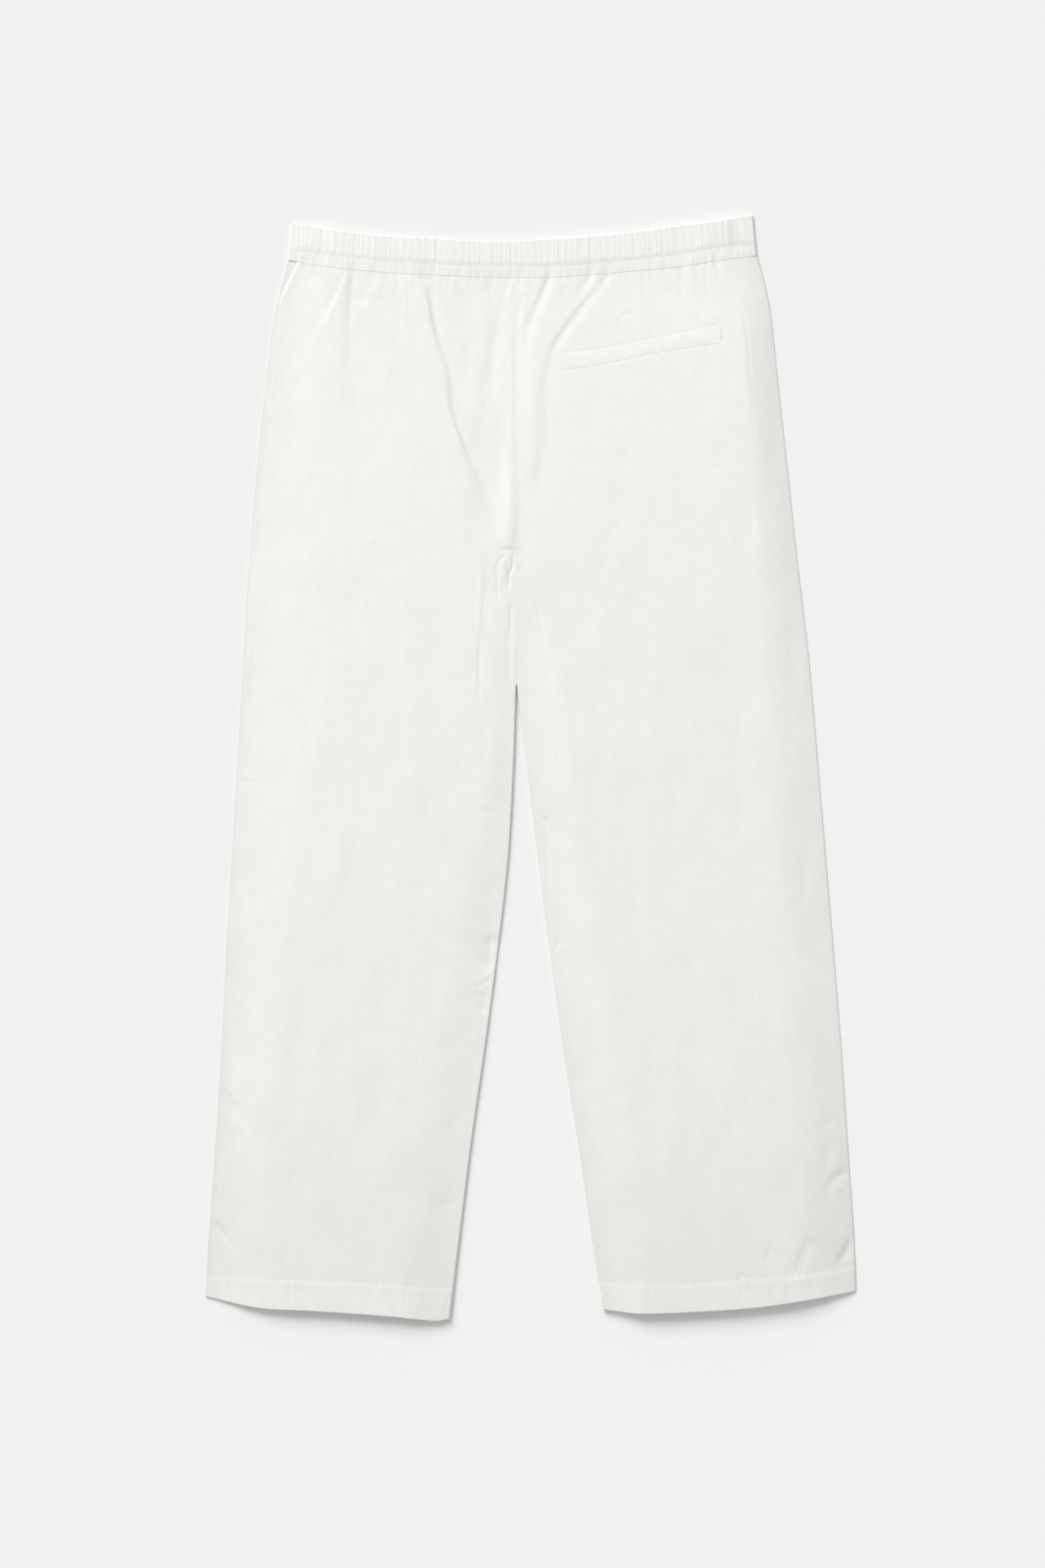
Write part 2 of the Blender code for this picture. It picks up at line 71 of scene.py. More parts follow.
Side = namedtuple("Side", "y left right")
OUTER_EDGE = [
    Side(497.0, -235.2, 218.9),
    Side(486.0, -237.4, 222.2),
    Side(462.0, -243.3, 228.2),
    Side(438.4, -248.9, 232.6),
    Side(391.0, -255.2, 237.6),
    Side(296.0, -265.4, 248.1),
    Side(201.0, -273.3, 258.3),
    Side(106.7, -278.9, 269.4),
    Side(11.9, -284.4, 277.7),
    Side(-83.0, -289.9, 285.6),
    Side(-177.8, -295.5, 293.5),
    Side(-272.6, -300.2, 301.0),
    Side(-367.4, -306.1, 307.3),
    Side(-462.0, -312.8, 313.6),
    Side(-535.0, -316.4, 315.4),
]
INNER_EDGE = [
    Side(80.6, -14.0, -13.6),
    Side(47.4, -15.0, -9.8),
    Side(11.9, -16.1, -5.3),
    Side(-83.0, -21.4, 6.0),
    Side(-177.8, -32.0, 18.2),
    Side(-272.6, -44.6, 31.2),
    Side(-367.4, -58.1, 46.2),
    Side(-462.0, -69.5, 60.0),
    Side(-535.0, -78.2, 72.0),
]

Across = namedtuple("Across", "x y")
HEM = {
    LEFT: [
        Across(-316.5, -511.7),
        Across(-265.4, -522.2),
        Across(-208.6, -525.4),
        Across(-133.5, -530.7),
        Across(-92.0, -535.2),
        Across(-78.5, -533.4),
    ],
    RIGHT: [
        Across(71.0, -524.6),
        Across(105.9, -527.7),
        Across(171.4, -525.4),
        Across(215.7, -522.2),
        Across(250.4, -517.5),
        Across(281.2, -512.7),
        Across(315.5, -507.0),
    ],
}
# The row of stitches that holds each hem.
HEM_STITCH = {
    LEFT: [
        Across(-316.0, -491.6),
        Across(-265.4, -493.8),
        Across(-225.9, -495.3),
        Across(-177.8, -497.7),
        Across(-144.6, -499.3),
        Across(-76.6, -504.2),
    ],
    RIGHT: [
        Across(67.9, -498.5),
        Across(123.2, -499.3),
        Across(171.4, -497.7),
        Across(207.0, -493.8),
        Across(259.1, -490.6),
        Across(314.4, -482.2),
    ],
}
# The row of stitches between the cord channel and the elastic.
BAND_STITCH = [
    Across(-235.4, 501.6),
    Across(-199.9, 497.7),
    Across(-167.5, 493.0),
    Across(-135.1, 490.6),
    Across(-98.0, 488.2),
    Across(-57.7, 485.9),
    Across(-21.3, 485.9),
    Across(11.1, 485.1),
    Across(51.4, 487.4),
    Across(83.7, 490.2),
    Across(118.5, 493.4),
    Across(149.3, 497.7),
    Across(179.3, 502.9),
    Across(216.0, 507.7),
]

SIDE_SEAM = [
    Side(497.0, 12.0, 45.0),
    Side(478.0, 11.0, 42.0),
    Side(447.0, 6.5, 31.0),
    Side(431.0, 5.5, 26.5),
    Side(392.0, 5.0, 26.0),
    Side(312.0, 5.5, 29.0),
    Side(190.0, 8.0, 27.0),
    Side(-24.0, 15.0, 26.0),
    Side(-400.0, 21.0, 24.0),
    Side(-535.0, 27.0, 25.0),
]

# How deep the seams draw in the cloth, and how far their allowances lift it.
Seams = namedtuple("Seams", "y side_left side_right inner_left inner_right ridge")
SEAM_DEPTH = [
    Seams(480.0, 0.05, 0.26, 0.05, 0.05, 0.06),
    Seams(440.0, 0.05, 0.30, 0.07, 0.07, 0.06),
    Seams(395.0, 0.04, 0.26, 0.07, 0.07, 0.06),
    Seams(330.0, 0.04, 0.18, 0.05, 0.05, 0.05),
    Seams(250.0, 0.03, 0.08, 0.04, 0.04, 0.05),
    Seams(205.0, 0.03, 0.05, 0.14, 0.12, 0.06),
    Seams(165.0, 0.03, 0.04, 0.10, 0.14, 0.06),
    Seams(110.0, 0.03, 0.04, 0.06, 0.08, 0.06),
    Seams(0.0, 0.02, 0.025, 0.03, 0.04, 0.05),
    Seams(-250.0, 0.015, 0.015, 0.02, 0.03, 0.04),
    Seams(-535.0, 0.02, 0.02, 0.02, 0.03, 0.04),
]

Line = namedtuple("Line", "y x")
CENTRE_SEAM = [
    Line(476.0, -9.6),
    Line(462.0, -12.4),
    Line(448.0, -14.2),
    Line(387.0, -15.8),
    Line(308.0, -15.0),
    Line(268.6, -15.9),
    Line(228.0, -19.6),
    Line(211.7, -20.6),
    Line(189.6, -18.6),
    Line(158.0, -19.4),
    Line(134.0, -17.6),
    Line(110.6, -15.2),
    Line(80.6, -13.8),
]
FRONT_SEAM = [
    Line(476.0, -11.0),
    Line(211.7, -12.6),
    Line(80.6, -13.8),
]
INSEAM = {
    LEFT: [
        Line(211.7, -20.6),
        Line(197.5, -31.6),
        Line(180.0, -39.5),
        Line(158.0, -45.8),
        Line(133.5, -49.0),
        Line(74.3, -50.2),
        Line(-47.4, -43.5),
        Line(-126.4, -38.5),
        Line(-205.0, -42.7),
        Line(-367.4, -64.4),
        Line(-535.0, -84.2),
    ],
    RIGHT: [
        Line(211.7, -20.6),
        Line(204.6, -12.8),
        Line(184.0, -2.4),
        Line(173.8, 1.8),
        Line(150.0, 7.4),
        Line(117.7, 14.6),
        Line(71.1, 20.5),
        Line(-7.9, 25.4),
        Line(-86.9, 27.0),
        Line(-166.0, 29.8),
        Line(-245.0, 35.4),
        Line(-367.4, 52.4),
        Line(-535.0, 78.4),
    ],
}
CROTCH_Y = 211.7
TONGUE_Y = 211.55
GAP_TOP_Y = 80.6
FOLD_START_Y = 80.3

# How high the cloth stands: radius of its outer and inner folded edges,
# height midway across, and how far in from each edge it gets there.
Loft = namedtuple("Loft", "y outer inner middle outer_reach inner_reach")
LOFT = {
    LEFT: [
        Loft(497.0, 1.2, 2.0, 5.9, 50.0, 60.0),
        Loft(470.0, 1.0, 2.0, 6.0, 66.0, 60.0),
        Loft(420.0, 0.8, 2.0, 5.6, 90.0, 60.0),
        Loft(330.0, 0.7, 2.0, 5.3, 100.0, 60.0),
        Loft(210.0, 0.68, 1.8, 5.2, 90.0, 50.0),
        Loft(80.0, 0.68, 2.1, 5.2, 80.0, 22.0),
        Loft(20.0, 0.68, 2.0, 5.2, 76.0, 22.0),
        Loft(-120.0, 0.7, 1.6, 5.4, 70.0, 40.0),
        Loft(-300.0, 0.72, 1.7, 5.6, 66.0, 50.0),
        Loft(-420.0, 0.8, 1.85, 6.2, 66.0, 52.0),
        Loft(-490.0, 1.0, 2.15, 7.4, 74.0, 50.0),
        Loft(-535.0, 1.1, 2.5, 8.9, 84.0, 45.0),
    ],
    RIGHT: [
        Loft(497.0, 1.1, 2.0, 5.9, 40.0, 60.0),
        Loft(470.0, 0.8, 2.0, 6.5, 34.0, 60.0),
        Loft(420.0, 0.58, 2.0, 8.0, 31.0, 60.0),
        Loft(330.0, 0.52, 2.0, 8.8, 34.0, 60.0),
        Loft(210.0, 0.52, 1.8, 8.3, 38.0, 50.0),
        Loft(80.0, 0.52, 2.1, 7.3, 46.0, 44.0),
        Loft(-120.0, 0.52, 1.5, 7.2, 56.0, 50.0),
        Loft(-300.0, 0.55, 1.5, 7.9, 58.0, 56.0),
        Loft(-420.0, 0.62, 1.6, 8.7, 60.0, 56.0),
        Loft(-490.0, 0.9, 2.0, 9.1, 62.0, 50.0),
        Loft(-535.0, 1.0, 2.4, 9.5, 64.0, 40.0),
    ],
}

# Folds of the upper layer, each along a line down the cloth, with its height
# there and its reach to the left and to the right.  Below 0 is a trough.
Fold = namedtuple("Fold", "y x height left right")
FOLDS = {
    "left_diagonal": [
        Fold(474.0, -108.5, 0.3, 16.0, 3.0),
        Fold(455.0, -101.5, 1.2, 18.0, 3.2),
        Fold(419.0, -94.5, 1.5, 22.0, 3.4),
        Fold(385.0, -83.5, 1.3, 26.0, 4.0),
        Fold(350.0, -80.0, 1.2, 28.0, 3.6),
        Fold(330.0, -73.5, 1.5, 28.0, 2.4),
        Fold(306.0, -64.5, 1.6, 26.0, 2.4),
        Fold(288.0, -57.5, 1.2, 24.0, 5.0),
        Fold(262.0, -48.0, 0.9, 22.0, 7.0),
        Fold(236.0, -41.0, 0.3, 20.0, 7.0),
    ],
    "left_diagonal_foot": [
        Fold(468.0, -100.0, -0.23, 3.0, 5.0),
        Fold(455.0, -97.0, -0.92, 3.0, 5.0),
        Fold(419.0, -90.5, -1.15, 3.2, 8.0),
        Fold(385.0, -79.0, -0.92, 4.0, 12.0),
        Fold(350.0, -76.0, -0.8, 3.6, 14.0),
        Fold(330.0, -70.5, -1.15, 2.4, 14.0),
        Fold(306.0, -61.5, -1.26, 2.4, 14.0),
        Fold(288.0, -53.0, -1.15, 5.0, 11.0),
        Fold(262.0, -42.0, -1.03, 7.0, 7.0),
        Fold(236.0, -36.0, -0.46, 7.0, 6.0),
    ],
    "left_diagonal_shoulder": [
        Fold(468.0, -90.0, 0.2, 4.0, 6.0),
        Fold(448.0, -86.0, 0.6, 3.6, 6.0),
        Fold(428.0, -80.0, 0.5, 4.0, 7.0),
        Fold(410.0, -74.0, 0.1, 5.0, 9.0),
    ],
    "left_gather": [
        Fold(479.0, -171.0, -0.75, 4.0, 6.0),
        Fold(455.0, -172.5, -1.2, 6.0, 10.0),
        Fold(420.0, -172.0, -1.5, 10.0, 22.0),
        Fold(380.0, -169.0, -1.8, 14.0, 34.0),
        Fold(340.0, -167.0, -1.8, 15.0, 38.0),
        Fold(290.0, -166.0, -1.2, 17.0, 38.0),
        Fold(235.0, -163.0, -0.15, 18.0, 38.0),
    ],
    "left_gather_edge": [
        Fold(470.0, -173.0, -0.25, 1.6, 1.2),
        Fold(440.0, -175.0, -0.3, 2.0, 1.4),
        Fold(405.0, -174.5, -0.25, 2.2, 1.6),
        Fold(370.0, -172.0, -0.1, 2.4, 2.0),
    ],
    "left_hip_ridge": [
        Fold(480.0, -177.5, 0.24, 2.4, 3.6),
        Fold(462.0, -183.5, 0.33, 2.64, 6.0),
        Fold(440.0, -194.0, 0.27, 3.12, 8.4),
        Fold(422.0, -204.0, 0.06, 4.8, 10.8),
    ],
    "left_hip_foot": [
        Fold(476.0, -181.5, -0.21, 3.6, 2.4),
        Fold(456.0, -190.5, -0.35, 6.0, 2.88),
        Fold(434.0, -201.5, -0.28, 7.2, 3.6),
        Fold(418.0, -211.0, -0.07, 8.4, 4.8),
    ],
    "left_edge_ridge": [
        Fold(487.0, -224.0, 0.35, 2.0, 4.0),
        Fold(464.0, -235.0, 0.5, 2.4, 5.0),
        Fold(444.0, -244.0, 0.15, 3.0, 6.0),
    ],
    "left_edge_foot": [
        Fold(487.0, -228.0, -0.3, 2.4, 2.0),
        Fold(468.0, -237.5, -0.35, 2.4, 2.0),
        Fold(452.0, -244.0, -0.05, 2.4, 2.0),
    ],
    "left_dart": [
        Fold(473.0, -122.0, 0.35, 3.0, 2.2),
        Fold(440.0, -121.0, 0.35, 3.0, 2.2),
        Fold(420.0, -121.0, 0.1, 3.0, 2.4),
    ],
    "left_dart_line": [
        Fold(473.0, -119.4, -0.14, 0.8, 0.8),
        Fold(430.0, -119.4, -0.16, 0.8, 0.8),
        Fold(400.0, -120.4, -0.05, 0.8, 0.8),
    ],
    "centre_left_rib": [
        Fold(471.0, -61.5, 0.2, 1.6, 1.6),
        Fold(438.0, -60.5, 0.2, 1.6, 1.6),
        Fold(420.0, -60.0, 0.05, 1.8, 1.8),
    ],
    "centre_left_valley": [
        Fold(460.0, -26.5, -0.15, 2.7, 4.8),
        Fold(440.0, -30.0, -0.45, 3.6, 5.44),
        Fold(405.0, -35.0, -0.68, 5.4, 6.4),
        Fold(370.0, -38.5, -0.6, 6.3, 8.0),
        Fold(345.0, -38.5, -0.15, 6.3, 9.6),
    ],
    "centre_left_swell": [
        Fold(450.0, -44.0, 0.32, 9.0, 5.0),
        Fold(410.0, -47.0, 0.48, 12.0, 6.0),
        Fold(360.0, -54.0, 0.48, 12.0, 8.0),
        Fold(325.0, -56.0, 0.08, 12.0, 8.0),
    ],
    "centre_hollow": [
        Fold(350.0, -36.5, -0.19, 16.0, 7.6),
        Fold(325.0, -33.0, -0.8, 21.0, 8.0),
        Fold(300.0, -32.0, -1.35, 23.0, 8.8),
        Fold(272.0, -32.5, -1.6, 22.0, 8.8),
        Fold(240.0, -34.0, -1.25, 20.0, 8.8),
        Fold(215.0, -36.5, -0.5, 14.0, 8.0),
    ],
    "hollow_line": [
        Fold(304.0, -34.3, -0.05, 1.3, 1.6),
        Fold(285.0, -34.3, -0.2, 1.3, 1.6),
        Fold(255.0, -34.5, -0.22, 1.3, 1.6),
        Fold(226.0, -34.3, -0.08, 1.3, 1.6),
    ],
    "centre_ridge": [
        Fold(418.0, -17.1, 0.09, 2.88, 2.4),
        Fold(370.0, -17.5, 0.23, 3.2, 2.72),
        Fold(310.0, -18.0, 0.32, 4.8, 4.0),
        Fold(262.0, -19.0, 0.54, 5.6, 4.8),
        Fold(232.0, -20.0, 0.63, 5.6, 4.8),
        Fold(216.0, -20.5, 0.45, 4.8, 4.0),
        Fold(208.0, -20.5, 0.09, 4.0, 4.0),
    ],
    "centre_valley": [
        Fold(452.0, -8.0, -0.35, 3.0, 3.6),
        Fold(425.0, -12.5, -0.45, 3.4, 3.6),
        Fold(370.0, -13.5, -0.4, 3.8, 5.0),
        Fold(315.0, -13.0, -0.35, 4.2, 6.0),
        Fold(262.0, -11.0, -0.5, 5.0, 8.0),
        Fold(225.0, -12.0, -0.7, 5.0, 11.0),
        Fold(196.0, -9.0, -0.3, 5.0, 12.0),
    ],
    "centre_right_rib": [
        Fold(466.0, -5.0, 0.14, 2.88, 3.6),
        Fold(438.0, -8.5, 0.35, 2.4, 4.08),
        Fold(418.0, -11.0, 0.1, 2.88, 4.8),
    ],
    "right_gather": [
        Fold(473.0, 17.0, -0.75, 2.2, 3.9),
        Fold(452.0, 8.5, -0.8, 3.3, 6.5),
        Fold(430.0, 0.5, -0.59, 4.4, 9.1),
        Fold(408.0, -5.0, -0.17, 5.5, 10.4),
    ],
    "right_centre_swell": [
        Fold(462.0, 20.0, 0.3, 4.0, 5.0),
        Fold(424.0, 6.0, 0.5, 7.0, 7.0),
        Fold(380.0, 3.5, 0.7, 10.0, 7.0),
        Fold(320.0, 1.0, 0.6, 10.0, 7.0),
        Fold(270.0, -2.0, 0.1, 9.0, 8.0),
    ],
    "right_diagonal": [
        Fold(464.0, 64.0, -0.09, 2.4, 6.75),
        Fold(452.0, 54.5, -0.59, 3.0, 6.75),
        Fold(430.0, 38.0, -0.77, 3.4, 6.75),
        Fold(412.0, 25.5, -0.94, 3.4, 6.75),
        Fold(398.0, 20.5, -0.68, 4.0, 9.45),
        Fold(370.0, 15.5, -0.68, 5.0, 18.9),
        Fold(330.0, 17.0, -0.68, 6.0, 27.0),
        Fold(300.0, 13.0, -0.77, 7.0, 27.0),
        Fold(272.0, 8.0, -0.77, 10.0, 27.0),
        Fold(240.0, 5.0, -0.26, 11.0, 27.0),
    ],
    "right_gather_high": [
        Fold(474.0, 57.0, -0.9, 3.36, 3.36),
        Fold(462.0, 50.0, -0.39, 4.2, 4.76),
        Fold(448.0, 44.0, -0.07, 5.6, 5.6),
    ],
    "right_gather_far": [
        Fold(474.0, 73.5, -0.9, 3.36, 3.36),
        Fold(464.0, 68.0, -0.39, 4.2, 4.76),
        Fold(454.0, 63.0, -0.07, 5.6, 5.6),
    ],
    "right_dart": [
        Fold(477.0, 105.5, 0.22, 2.6, 1.6),
        Fold(440.0, 106.5, 0.22, 2.6, 1.6),
        Fold(416.0, 106.5, 0.15, 2.6, 1.6),
    ],
    "right_dart_line": [
        Fold(477.0, 108.6, -0.12, 0.8, 0.8),
        Fold(440.0, 108.8, -0.12, 0.8, 0.8),
        Fold(414.0, 108.6, -0.1, 0.8, 0.8),
    ],
    "right_hip_gather": [
        Fold(479.0, 143.0, -0.4, 2.4, 2.4),
        Fold(462.0, 146.0, -0.3, 3.0, 3.4),
        Fold(446.0, 149.0, -0.05, 5.0, 4.0),
    ],
    "right_hip_swell": [
        Fold(481.0, 152.5, 0.4, 2.6, 3.4),
        Fold(470.0, 155.0, 0.3, 3.4, 5.0),
        Fold(452.0, 160.0, 0.1, 4.0, 6.0),
    ],
    "right_hip_far": [
        Fold(483.0, 169.0, -0.35, 2.4, 2.6),
        Fold(470.0, 170.0, -0.3, 3.0, 3.6),
        Fold(455.0, 172.0, -0.05, 4.0, 4.0),
    ],
}

# Short creases: from one end to the other, drawn downwards or to the right,
# with the bow of the line and the reach to its +X or +Y side and the other.
Crease = namedtuple("Crease", "x0 y0 x1 y1 bow height plus minus")
CREASES = [
    # under the waistband
    Crease(-211.0, 479.0, -216.0, 468.0, 0.3, -0.22, 2.4, 3.2),
    Crease(-154.5, 477.5, -164.0, 448.0, 0.8, -0.34, 4.0, 7.0),
    Crease(-146.0, 470.0, -150.0, 455.0, 0.0, 0.24, 4.0, 5.0),
    Crease(-109.0, 473.5, -100.0, 472.0, 0.4, -0.3, 1.2, 1.4),
    Crease(-116.0, 469.0, -108.0, 462.0, -0.6, -0.34, 2.6, 3.6),
    Crease(-76.0, 473.0, -74.0, 460.0, 0.0, 0.24, 3.0, 2.6),
    Crease(-43.0, 472.0, -34.0, 449.0, 0.5, -0.42, 2.0, 3.4),
    Crease(-28.0, 471.0, -22.0, 456.0, 0.3, -0.3, 1.8, 2.6),
    Crease(-17.5, 472.0, -20.0, 453.0, 0.3, 0.3, 2.0, 2.4),
    Crease(30.0, 470.0, 26.0, 452.0, 0.0, 0.24, 3.0, 3.6),
    Crease(86.0, 436.5, 103.0, 439.5, 0.2, -0.16, 1.8, 3.0),
    Crease(88.0, 441.6, 103.0, 444.2, 0.2, 0.04, 2.6, 1.8),
    Crease(128.0, 478.0, 131.0, 462.0, 0.4, 0.21, 3.0, 3.0),
    Crease(166.0, 436.0, 173.0, 425.0, 0.6, 0.28, 3.0, 3.6),
    Crease(176.0, 434.0, 186.0, 431.0, -1.4, -0.2, 2.0, 1.6),
    Crease(184.0, 486.0, 181.0, 470.0, 0.2, -0.24, 2.6, 3.0),
    # left hip and seat
    Crease(-232.0, 372.0, -214.0, 366.0, 0.5, -0.15, 3.0, 4.0),
    Crease(-222.0, 300.0, -210.0, 268.0, 1.0, -0.18, 5.0, 5.0),
    Crease(-140.0, 395.0, -146.0, 350.0, 1.0, 0.21, 6.0, 8.0),
    Crease(-112.0, 300.0, -100.0, 262.0, 1.0, -0.18, 6.0, 6.0),
    Crease(-92.0, 246.0, -74.0, 205.0, 1.0, -0.21, 7.0, 7.0),
    # right hip
    Crease(60.0, 353.0, 87.0, 358.5, 0.3, -0.07, 1.6, 2.4),
    Crease(122.0, 361.5, 132.0, 360.0, 0.2, -0.06, 1.4, 2.0),
    Crease(74.0, 227.0, 86.0, 237.0, 0.2, -0.16, 2.0, 3.4),
    Crease(66.0, 232.0, 84.0, 242.0, 0.4, 0.1, 3.6, 3.0),
    Crease(86.0, 184.0, 88.0, 174.0, 0.3, -0.25, 2.2, 2.6),
    Crease(176.0, 290.0, 190.0, 288.0, 0.3, -0.1, 1.8, 2.2),
    Crease(92.0, 158.0, 112.0, 152.0, 0.6, -0.18, 4.0, 5.0),
    Crease(162.0, 214.0, 158.0, 150.0, 1.5, -0.18, 8.0, 8.0),
    # the crotch: an arch over a hooked fold, and what hangs below it
    Crease(-29.0, 209.5, -15.5, 210.0, 1.6, -0.55, 1.5, 2.0),
    Crease(-17.4, 208.0, -17.8, 191.0, 0.5, -0.75, 1.7, 1.5),
    Crease(-17.6, 193.5, -21.6, 185.0, 0.4, -0.45, 1.3, 1.3),
    Crease(-21.2, 191.0, -21.4, 174.0, 0.2, -0.85, 1.1, 1.2),
    Crease(-26.0, 203.0, -26.6, 181.0, 0.3, 0.5, 3.6, 3.0),
    Crease(-20.0, 157.0, -19.2, 130.0, 0.2, -0.75, 1.2, 1.5),
    Crease(-22.6, 128.0, -20.4, 84.0, 0.4, -0.6, 1.9, 2.6),
    Crease(-16.6, 124.0, -15.0, 83.0, 0.2, 0.4, 2.0, 1.8),
    Crease(-32.6, 200.0, -31.8, 157.0, 0.4, -0.45, 1.2, 1.7),
    Crease(-48.0, 194.0, -49.0, 130.0, -0.6, 0.45, 2.4, 2.8),
    Crease(-49.6, 128.0, -49.0, 62.0, -0.4, -0.3, 1.6, 2.0),
    Crease(-10.0, 132.0, 11.0, 131.4, 0.1, -0.09, 1.2, 2.0),
    Crease(-12.5, 213.0, -10.0, 203.0, 0.2, -0.4, 1.8, 1.8),
    Crease(4.0, 170.0, 14.0, 120.0, 0.6, -0.2, 2.0, 3.0),
    Crease(8.0, 118.0, 22.0, 74.0, 0.6, -0.2, 4.0, 5.0),
    # left leg, outer edge
    Crease(-285.0, -12.6, -259.0, -14.6, 0.5, -0.28, 1.6, 2.0),
    Crease(-283.0, -9.4, -262.0, -11.0, 0.3, 0.14, 1.8, 1.8),
    Crease(-291.0, -100.0, -272.0, -131.0, 1.0, -0.4, 3.4, 4.4),
    Crease(-296.0, -197.0, -282.0, -222.0, 0.8, -0.6, 2.6, 3.6),
    Crease(-299.0, -252.0, -288.0, -278.0, 0.6, -0.5, 2.6, 3.6),
    Crease(-303.0, -313.0, -275.0, -354.0, 5.5, -1.2, 3.4, 6.5),
    Crease(-303.0, -329.0, -284.0, -358.0, 2.0, 0.15, 4.0, 4.0),
    Crease(-289.0, -350.0, -282.0, -366.0, 0.6, -0.35, 1.8, 2.2),
    Crease(-308.0, -366.0, -301.5, -388.0, 0.4, -0.9, 3.0, 4.0),
    Crease(-309.0, -388.0, -301.0, -398.0, 0.2, -0.6, 2.4, 3.0),
    Crease(-308.0, -406.0, -299.0, -432.0, 0.4, -0.9, 4.0, 5.0),
    Crease(-311.0, -437.0, -286.0, -471.0, 2.2, -1.2, 3.2, 5.0),
    Crease(-308.0, -458.0, -295.0, -487.0, 0.4, 0.18, 3.4, 3.6),
    Crease(-313.0, -455.0, -299.0, -489.0, -2.2, -1.2, 3.0, 4.6),
    # left leg, inner edge
    Crease(-52.0, -42.0, -30.0, -44.5, 0.4, -0.16, 2.4, 3.4),
    Crease(-48.0, -66.0, -33.0, -70.0, 0.3, 0.12, 2.6, 2.6),
    Crease(-55.3, -214.0, -36.5, -201.0, -1.2, -0.5, 1.5, 2.2),
    Crease(-48.0, -205.0, -37.0, -197.5, -0.8, 0.28, 1.9, 1.9),
    Crease(-56.0, -219.5, -37.0, -209.5, -1.2, -0.4, 1.6, 2.2),
    Crease(-64.0, -225.0, -52.0, -222.0, 0.2, -0.25, 1.6, 2.0),
    Crease(-33.0, -164.0, -36.0, -197.0, 0.0, -1.6, 4.0, 12.0),
    Crease(-40.0, -218.0, -42.0, -238.0, 0.0, -1.1, 4.0, 9.0),
    Crease(-68.0, -262.0, -54.0, -246.0, -0.6, -0.2, 3.0, 3.6),
    Crease(-80.0, -352.0, -62.0, -330.0, -0.6, -0.2, 3.4, 4.0),
    Crease(-87.0, -424.0, -72.0, -419.0, 0.3, -0.2, 2.0, 2.6),
    # right leg, inner edge
    Crease(6.0, -43.0, 19.0, -56.0, 0.5, -0.45, 1.6, 2.2),
    Crease(10.0, -48.0, 24.0, -62.0, 0.6, -0.3, 1.6, 2.2),
    Crease(12.5, -64.0, 17.0, -84.0, 0.6, -0.4, 2.6, 3.2),
    Crease(29.6, -167.0, 23.4, -175.0, 0.3, -0.5, 1.8, 2.4),
    Crease(24.0, -197.0, 34.0, -206.0, 0.4, -0.2, 2.2, 2.8),
    Crease(48.0, -332.0, 62.0, -352.0, 0.6, -0.2, 3.4, 4.0),
    # right leg, outer edge
    Crease(296.0, -341.0, 284.0, -348.0, -0.6, -0.35, 2.0, 2.6),
    Crease(309.0, -391.0, 286.0, -418.0, -7.0, -1.0, 6.5, 4.6),
    Crease(301.0, -404.0, 294.0, -412.0, 0.0, 0.18, 3.4, 3.4),
    Crease(312.0, -454.0, 293.0, -484.0, 2.2, -1.2, 6.0, 4.2),
    Crease(313.0, -472.0, 296.0, -484.0, 0.6, 0.12, 2.2, 2.2),
    Crease(271.0, -456.0, 256.0, -490.0, -1.6, -0.7, 7.5, 4.6),
    Crease(233.0, -462.0, 226.0, -480.0, 0.3, -0.25, 2.4, 3.0),
    Crease(290.0, -362.0, 280.0, -402.0, 1.0, -0.5, 5.0, 7.0),
    Crease(268.0, -60.0, 262.0, -140.0, 1.6, -0.25, 5.0, 6.0),
    Crease(252.0, 160.0, 256.0, 60.0, 1.4, -0.25, 5.0, 6.0),
    # broad and shallow, down the legs
    Crease(-206.0, 150.0, -220.0, 20.0, 3.0, -0.58, 12.0, 14.0),
    Crease(-182.0, -40.0, -196.0, -140.0, 3.0, 0.5, 12.0, 12.0),
    Crease(-120.0, 120.0, -112.0, -40.0, 3.0, 0.58, 14.0, 14.0),
    Crease(-228.0, -150.0, -214.0, -300.0, -3.0, -0.5, 13.0, 13.0),
    Crease(-140.0, -210.0, -156.0, -380.0, 3.0, -0.5, 14.0, 14.0),
    Crease(120.0, 110.0, 128.0, -60.0, -3.0, 0.58, 14.0, 15.0),
    Crease(196.0, 90.0, 204.0, -70.0, 3.0, -0.5, 13.0, 13.0),
    Crease(92.0, -60.0, 104.0, -240.0, 3.0, -0.43, 13.0, 13.0),
    Crease(180.0, -180.0, 196.0, -340.0, 3.0, 0.5, 14.0, 14.0),
    Crease(150.0, -330.0, 166.0, -450.0, -2.0, -0.43, 13.0, 13.0),
    # hems
    Crease(202.0, -489.0, 204.0, -517.0, 0.3, -0.3, 1.4, 1.6),
    Crease(212.0, -489.0, 215.0, -514.0, 0.3, -0.24, 1.4, 1.6),
    Crease(246.0, -487.0, 250.0, -511.0, 0.3, -0.36, 1.6, 1.8),
    Crease(262.0, -486.0, 264.0, -508.0, 0.2, -0.24, 1.4, 1.8),
    Crease(275.0, -484.0, 281.0, -506.0, 0.3, -0.3, 1.6, 1.8),
    Crease(160.0, -494.0, 161.0, -516.0, 0.2, -0.18, 1.6, 1.8),
    Crease(116.0, -497.0, 114.0, -518.0, 0.2, -0.18, 1.6, 1.8),
    Crease(-292.0, -489.0, -290.0, -512.0, 0.2, -0.24, 1.6, 1.8),
    Crease(-232.0, -493.0, -233.0, -516.0, 0.2, -0.18, 1.6, 1.8),
    Crease(-170.0, -496.0, -168.0, -520.0, 0.2, -0.18, 1.6, 1.8),
